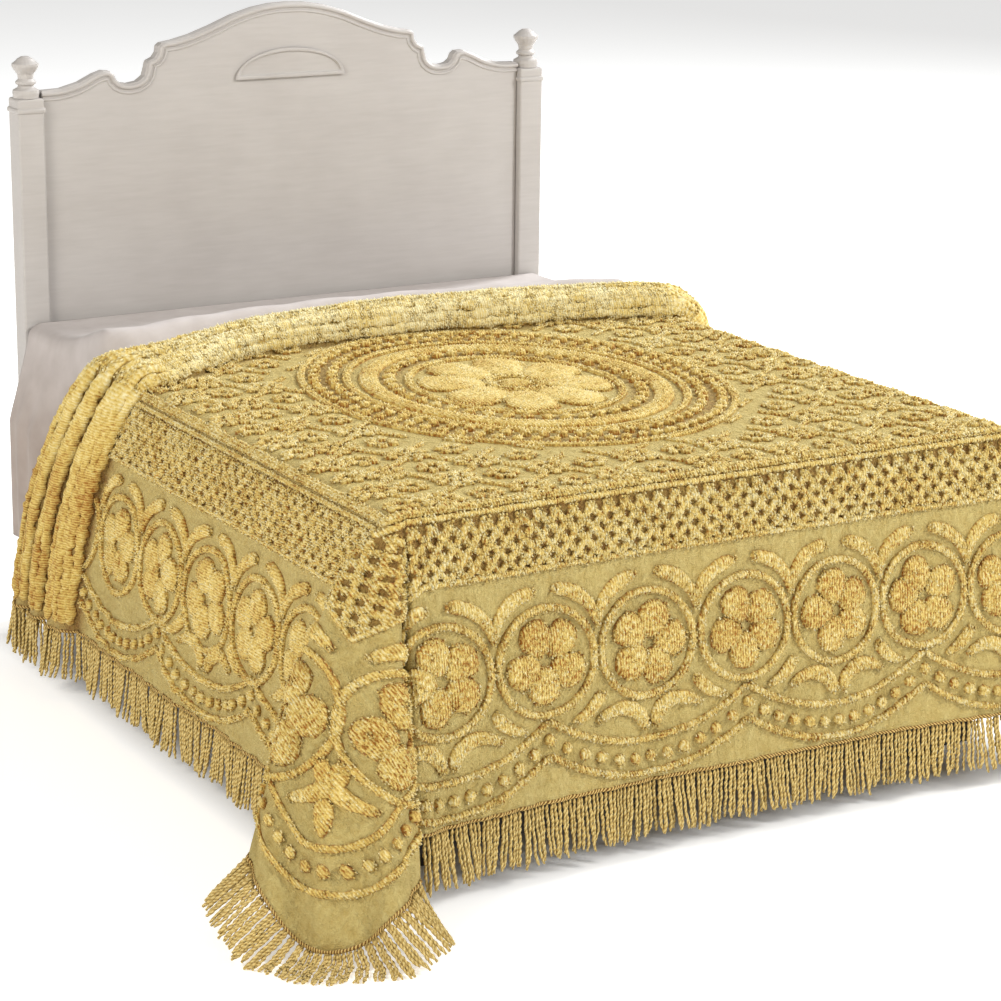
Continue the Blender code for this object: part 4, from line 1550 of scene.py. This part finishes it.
def buildSheet():
    bend = sheet["bend"]
    arc = bend * math.pi / 2
    flat = sheet["half"] - bend
    side = np.concatenate([np.linspace(0, arc, 8)[1:], np.linspace(arc, arc + sheet["drop"] - bend, 26)[1:]])
    across = np.concatenate([-flat - side[::-1], np.linspace(-flat, flat, 61), flat + side])
    u, share = np.meshgrid(across, np.linspace(0, 1, 70))
    t = np.maximum(np.abs(u) - flat, 0)
    angle = np.minimum(t / bend, math.pi / 2)
    way = np.sign(u)
    x = np.where(t > 0, way * (flat + bend * np.sin(angle)), u)
    z = sheet["top"] - bend * (1 - np.cos(angle)) - np.maximum(t - arc, 0)
    front, width, _, _ = headColumns(u)
    start = front + width * .55 + .02 * (t > arc)
    y = start + (sheet["head"] - start) * share
    # It rises in a soft ridge behind the gathered end
    behind = np.maximum(y - (front + width) - .035, 0)
    ridge = (1 - np.exp(-(behind / .03) ** 2)) * np.exp(-(behind / .20) ** 2)
    edge = np.clip((sheet["half"] - np.abs(x)) / .03 + .6, 0, 1)
    z = z + sheet["ridge"] * ridge * np.cos(angle) * edge
    hang = np.clip((t - arc) / .2, 0, 1)
    folds = .0045 * np.sin(17 * share + 2 * u) + .0055 + .004 * np.sin(37 * share + 2) * hang
    swing, ripple = sheet["flare"]
    flare = (swing + ripple * np.sin(9 * share + 1)) * hang * (1 - np.exp(-(behind / .10) ** 2))
    x = x + way * (folds * hang + flare)
    # Soft creases that run away from the gathered end
    z = z + .0022 * (1 - hang) * np.sin(26 * u + 5 * np.sin(3 * share + u)) * np.exp(-(behind / .25) ** 2)
    points = np.stack([x, y - drape["centreAlong"], z], -1).reshape(-1, 3)
    quads = gridFaces(*u.shape)
    item = meshPiece("white_sheet", points, quads, [], sheetSkin, np.stack([u, y], -1).reshape(-1, 2))
    addModifier(item, "SOLIDIFY", thickness=sheet["thick"], offset=-1)
    applyModifiers(item)
    return item, clothArea(points, quads)


whiteSheet, sheetArea = buildSheet()
print("sheet made, area", round(sheetArea, 3))


# ---- Mattress: a crowned block with a cord sewn round its top and bottom edges
mattress = {
    "round": 0.045,
    "inset": 0.003,
    "cord": 0.00405,
    "quilt": 0.16,
    "quiltDeep": 0.004,
    "waist": 0.0030,
}


def addBlock(name, centre, size):
    selectOnly()
    bpy.ops.mesh.primitive_cube_add(size=1, location=centre)
    block = bpy.context.object
    block.name = name
    block.scale = size
    bpy.ops.object.transform_apply(location=True, rotation=False, scale=True)
    return block


def roundedPath(low, high, inset, corner, z, steps=8):
    # Corner-rounded rectangle at one height
    points = []
    for sx, sy, first in ((1, 1, 0), (-1, 1, 90), (-1, -1, 180), (1, -1, 270)):
        cx = (high[0] - inset - corner) if sx > 0 else (low[0] + inset + corner)
        cy = (high[1] - inset - corner) if sy > 0 else (low[1] + inset + corner)
        for k in range(steps + 1):
            turn = math.radians(first + 90 * k / steps)
            points.append((cx + corner * math.cos(turn), cy + corner * math.sin(turn), z))
    return points


def tubeAlong(name, points, radius, skin, cyclic=True):
    # A round cord laid on a line of points, made a mesh
    line = bpy.data.curves.new(name, "CURVE")
    line.dimensions = "3D"
    line.bevel_depth = radius
    line.bevel_resolution = 3
    line.use_fill_caps = not cyclic
    spline = line.splines.new("POLY")
    spline.points.add(len(points) - 1)
    for spot, found in zip(spline.points, points):
        spot.co = (*found, 1)
    spline.use_cyclic_u = cyclic
    selectOnly(addItem(name, line))
    bpy.ops.object.convert(target="MESH")
    item = bpy.context.object
    dress(item, skin)
    bpy.ops.object.shade_smooth()
    return item


def buildMattress():
    low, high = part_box("mattress")
    centre = [(low[k] + high[k]) / 2 for k in range(3)]
    size = [high[k] - low[k] - 2 * mattress["inset"] for k in range(3)]
    block = addBlock("mattress_block", centre, size)
    startEdit()
    bpy.ops.mesh.subdivide(number_cuts=11)
    endEdit()
    limits = {"limit_method": "ANGLE", "angle_limit": math.radians(60)}
    addModifier(block, "BEVEL", width=mattress["round"], segments=4, **limits)
    addModifier(block, "SUBSURF", levels=1, render_levels=1)
    applyModifiers(block)
    # Quilting draws the top in, in a wide pattern of lines, and the sides have a soft waist
    for point in block.data.vertices:
        x, y, z = point.co
        lines = [abs(math.sin(math.pi * way / mattress["quilt"])) for way in (x + y, x - y)]
        side = abs(x - centre[0]) / (size[0] / 2) > .97 or abs(y - centre[1]) / (size[1] / 2) > .97
        if z > centre[2] + size[2] * .42 and not side:
            point.co.z -= mattress["quiltDeep"] * (1 - lines[0] * lines[1])
        elif side and abs(z - centre[2]) < size[2] * .36:
            draw = 1 - mattress["waist"] * math.cos(math.pi * (z - centre[2]) / (size[2] * .72)) ** 2
            point.co.x = centre[0] + (x - centre[0]) * draw
            point.co.y = centre[1] + (y - centre[1]) * draw
    selectOnly(block)
    bpy.ops.object.shade_smooth()
    dress(block, tickingSkin)
    made = [block]
    for number, z in enumerate((high[2] - mattress["round"], low[2] + mattress["round"])):
        path = roundedPath(low, high, mattress["inset"] + mattress["cord"], mattress["round"], z)
        made.append(tubeAlong("mattress_cord_%d" % (number + 1), path, mattress["cord"], tickingSkin))
    return made


mattressPieces = buildMattress()
print("mattress made")


# ---- Headboard trim: beads that follow the top line, the arched panel, and collars on the posts
boardTop = (
    (.000, .781), (.050, .779), (.100, .771), (.160, .754), (.220, .730), (.280, .709), (.330, .697),
    (.362, .692), (.372, .684), (.374, .668), (.384, .655), (.402, .647), (.406, .630), (.412, .610),
    (.430, .597), (.456, .593), (.478, .597), (.490, .606), (.496, .620), (.506, .628), (.525, .630),
    (.550, .622), (.590, .603), (.640, .590), (.6947, .588),
)
board = {
    "level": 0.80,
    "beads": ((.0085, .0062), (.0230, .0036)),
    "archWide": 0.158,
    "archTall": 0.078,
    "archLow": 1.386,
    "archDeep": 0.0055,
    "archRound": 0.0022,
    "collar": 0.004,
    "collarTall": 0.016,
    "collarDown": 0.030,
    "collarRound": 0.0068,
}


def trimLine(inset):
    # The top line moved in by a fixed distance, from post to post
    right = [(x, z + board["level"]) for x, z in boardTop]
    line = smoothPath([(-x, z) for x, z in right[:0:-1]] + right, 150)
    ahead = unit(np.gradient(line, axis=0))
    moved = line - leftOf(ahead) * inset
    # Where the inside of a tight turn folds back on itself, the fold is left out
    kept = [moved[0]]
    for spot, way in zip(moved[1:], ahead[1:]):
        if np.dot(spot - kept[-1], way) > .0008:
            kept.append(spot)
    return kept


def buildBeads():
    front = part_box("headboard")[0][1]
    made = []
    for number, (inset, radius) in enumerate(board["beads"]):
        path = [(x, front + .0004, z) for x, z in trimLine(inset)]
        made.append(tubeAlong("board_bead_%d" % (number + 1), path, radius, paintSkin, False))
    return made


def buildArch():
    low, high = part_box("arch_panel")
    front = low[1]
    base = (0, high[1], board["archLow"])
    selectOnly()
    bpy.ops.mesh.primitive_circle_add(vertices=64, radius=board["archWide"], fill_type="NGON", location=base)
    arch = bpy.context.object
    arch.name = "arch_frame"
    arch.rotation_euler = (math.radians(90), 0, 0)
    bpy.ops.object.transform_apply(location=True, rotation=True, scale=True)
    startEdit()
    bpy.ops.transform.resize(value=(1, 1, board["archTall"] / board["archWide"]), center_override=base)
    endEdit()
    # The lower half goes, and a straight edge closes the arch
    for part in list(arch.data.polygons) + list(arch.data.edges):
        part.select = False
    for spot in arch.data.vertices:
        spot.select = spot.co.z < board["archLow"] - .0001
    bpy.ops.object.mode_set(mode="EDIT")
    bpy.ops.mesh.delete(type="VERT")
    bpy.ops.mesh.select_all(action="SELECT")
    bpy.ops.mesh.edge_face_add()
    bpy.ops.mesh.select_all(action="SELECT")
    # Out to the front, in to a rim, and back to a sunk panel
    middle = (0, front, board["archLow"] + board["archTall"] / 2)
    for along, squeeze in ((front - high[1], None), (0, (.93, 1, .76)), (board["archDeep"], (.985, 1, .95))):
        bpy.ops.mesh.extrude_region_move(TRANSFORM_OT_translate={"value": (0, along, 0)})
        if squeeze:
            bpy.ops.transform.resize(value=squeeze, center_override=middle)
    bpy.ops.mesh.select_all(action="SELECT")
    bpy.ops.mesh.normals_make_consistent(inside=False)
    endEdit()
    limits = {"limit_method": "ANGLE", "angle_limit": math.radians(50)}
    addModifier(arch, "BEVEL", width=board["archRound"], segments=3, **limits)
    applyModifiers(arch)
    bpy.ops.object.shade_smooth_by_angle(angle=math.radians(40))
    dress(arch, paintSkin)
    return arch


def buildCollars():
    made = []
    for name in ("post_left", "post_right"):
        low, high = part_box(name)
        centre = ((low[0] + high[0]) / 2, (low[1] + high[1]) / 2, high[2] - board["collarDown"])
        wide = high[0] - low[0] + 2 * board["collar"]
        collar = addBlock(name.replace("post", "collar"), centre, (wide, wide, board["collarTall"]))
        startEdit()
        bpy.ops.mesh.bevel(offset=board["collarRound"], segments=5, affect="EDGES")
        endEdit()
        bpy.ops.object.shade_smooth_by_angle(angle=math.radians(40))
        dress(collar, paintSkin)
        made.append(collar)
    return made


boardPieces = buildBeads() + [buildArch()] + buildCollars()
print("headboard trim made")


# ---- Bed: the solids keep their shape and get their finish
finishes = (
    (paintSkin, ("headboard", "post_left", "post_right", "finial_left", "finial_right")),
    (darkSkin, ("bed_base", "foot_1", "foot_2", "foot_3", "foot_4", "foot_5", "foot_6")),
)
for skin, names in finishes:
    for name in names:
        dress(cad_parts[name], skin)


# ---- What stands for what
for piece in [spreadGround, hemCord, whiteSheet] + pilePieces + fringePieces + mattressPieces + boardPieces:
    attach(piece, "root")
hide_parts("bedspread")
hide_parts("fringe")
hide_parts("sheet")
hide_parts("mattress")
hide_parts("arch_panel")
for piece in [spreadGround] + pilePieces:
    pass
[hemCord] + fringePieces + pilePieces


# ---- Floor, light and camera
studio = {
    "floor": linear(246, 245, 243),
    "glow": 0.46,
    "world": 0.30,
    "under": (.80, .94, .10, .13),  # half across, half along, middle and softness of the painted shadow under the bed
    "aim": (0, 0, .6),
    # Place, size, power and tint
    "key": ((6.0, -6.6, 6.4), 1.9, 800, (1, 1, .98)),
    "back": ((8.0, 3.4, 6.8), 2.0, 1180, (.95, .98, 1)),
    "fill": ((-6.4, -2.0, 4.6), 2.6, 340, (1, .97, .90)),
}


def buildFloor():
    selectOnly()
    bpy.ops.mesh.primitive_plane_add(size=60, location=(0, 0, 0))
    floor = bpy.context.object
    floor.name = "studio_floor"
    made, flat, place = newMaterial("paleFloor", .9)
    # The floor glows a little and evenly, but not under the bed, where the missing glow is a painted shadow
    halfAcross, halfAlong, middle, soft = studio["under"]
    x, y, _ = place.parts()
    beside = x.absolute() - halfAcross
    beyond = (y - middle).absolute() - halfAlong
    glow = (x.maths("MAXIMUM", beside, beyond) / soft).clamped().ramp((0, (.05, .04, .03)), (1, (1, 1, 1)))
    wire(made, glow=glow)
    shader = made.node_tree.nodes["Principled BSDF"]
    shader.inputs["Base Color"].default_value = (*studio["floor"], 1)
    shader.inputs["Emission Strength"].default_value = studio["glow"]
    dress(floor, made)


def buildLights():
    for name in ("key", "back", "fill"):
        place, size, power, tint = studio[name]
        lamp = bpy.data.lights.new(name, "AREA")
        lamp.size = size
        lamp.energy = power
        lamp.color = tint
        item = addItem(name, lamp)
        item.location = place
        item.rotation_euler = (Vector(studio["aim"]) - Vector(place)).to_track_quat("-Z", "Y").to_euler()
    world = bpy.data.worlds.new("studio")
    world.use_nodes = True
    background = world.node_tree.nodes["Background"]
    background.inputs["Color"].default_value = (1, 1, 1, 1)
    background.inputs["Strength"].default_value = studio["world"]
    bpy.context.scene.world = world
    bpy.context.scene.view_settings.view_transform = "Standard"


view = {"place": (-3.411, -5.7853, 2.3936), "yaw": 30.248, "down": 15.578, "roll": 0.660, "lens": 105.57}


def buildCamera():
    lens = bpy.data.cameras.new("camera")
    lens.lens = view["lens"]
    lens.sensor_width = 36
    item = addItem("camera", lens)
    yaw, down, roll = [math.radians(view[name]) for name in ("yaw", "down", "roll")]
    ahead = Vector((math.sin(yaw) * math.cos(down), math.cos(yaw) * math.cos(down), -math.sin(down)))
    right = Vector((math.cos(yaw), -math.sin(yaw), 0))
    up = right.cross(ahead)
    turn = item.matrix_world.to_3x3()
    turn.col[0] = right * math.cos(roll) + up * math.sin(roll)
    turn.col[1] = up * math.cos(roll) - right * math.sin(roll)
    turn.col[2] = -ahead
    item.matrix_world = turn.to_4x4()
    item.location = view["place"]
    bpy.context.scene.camera = item


buildFloor()
buildLights()
buildCamera()
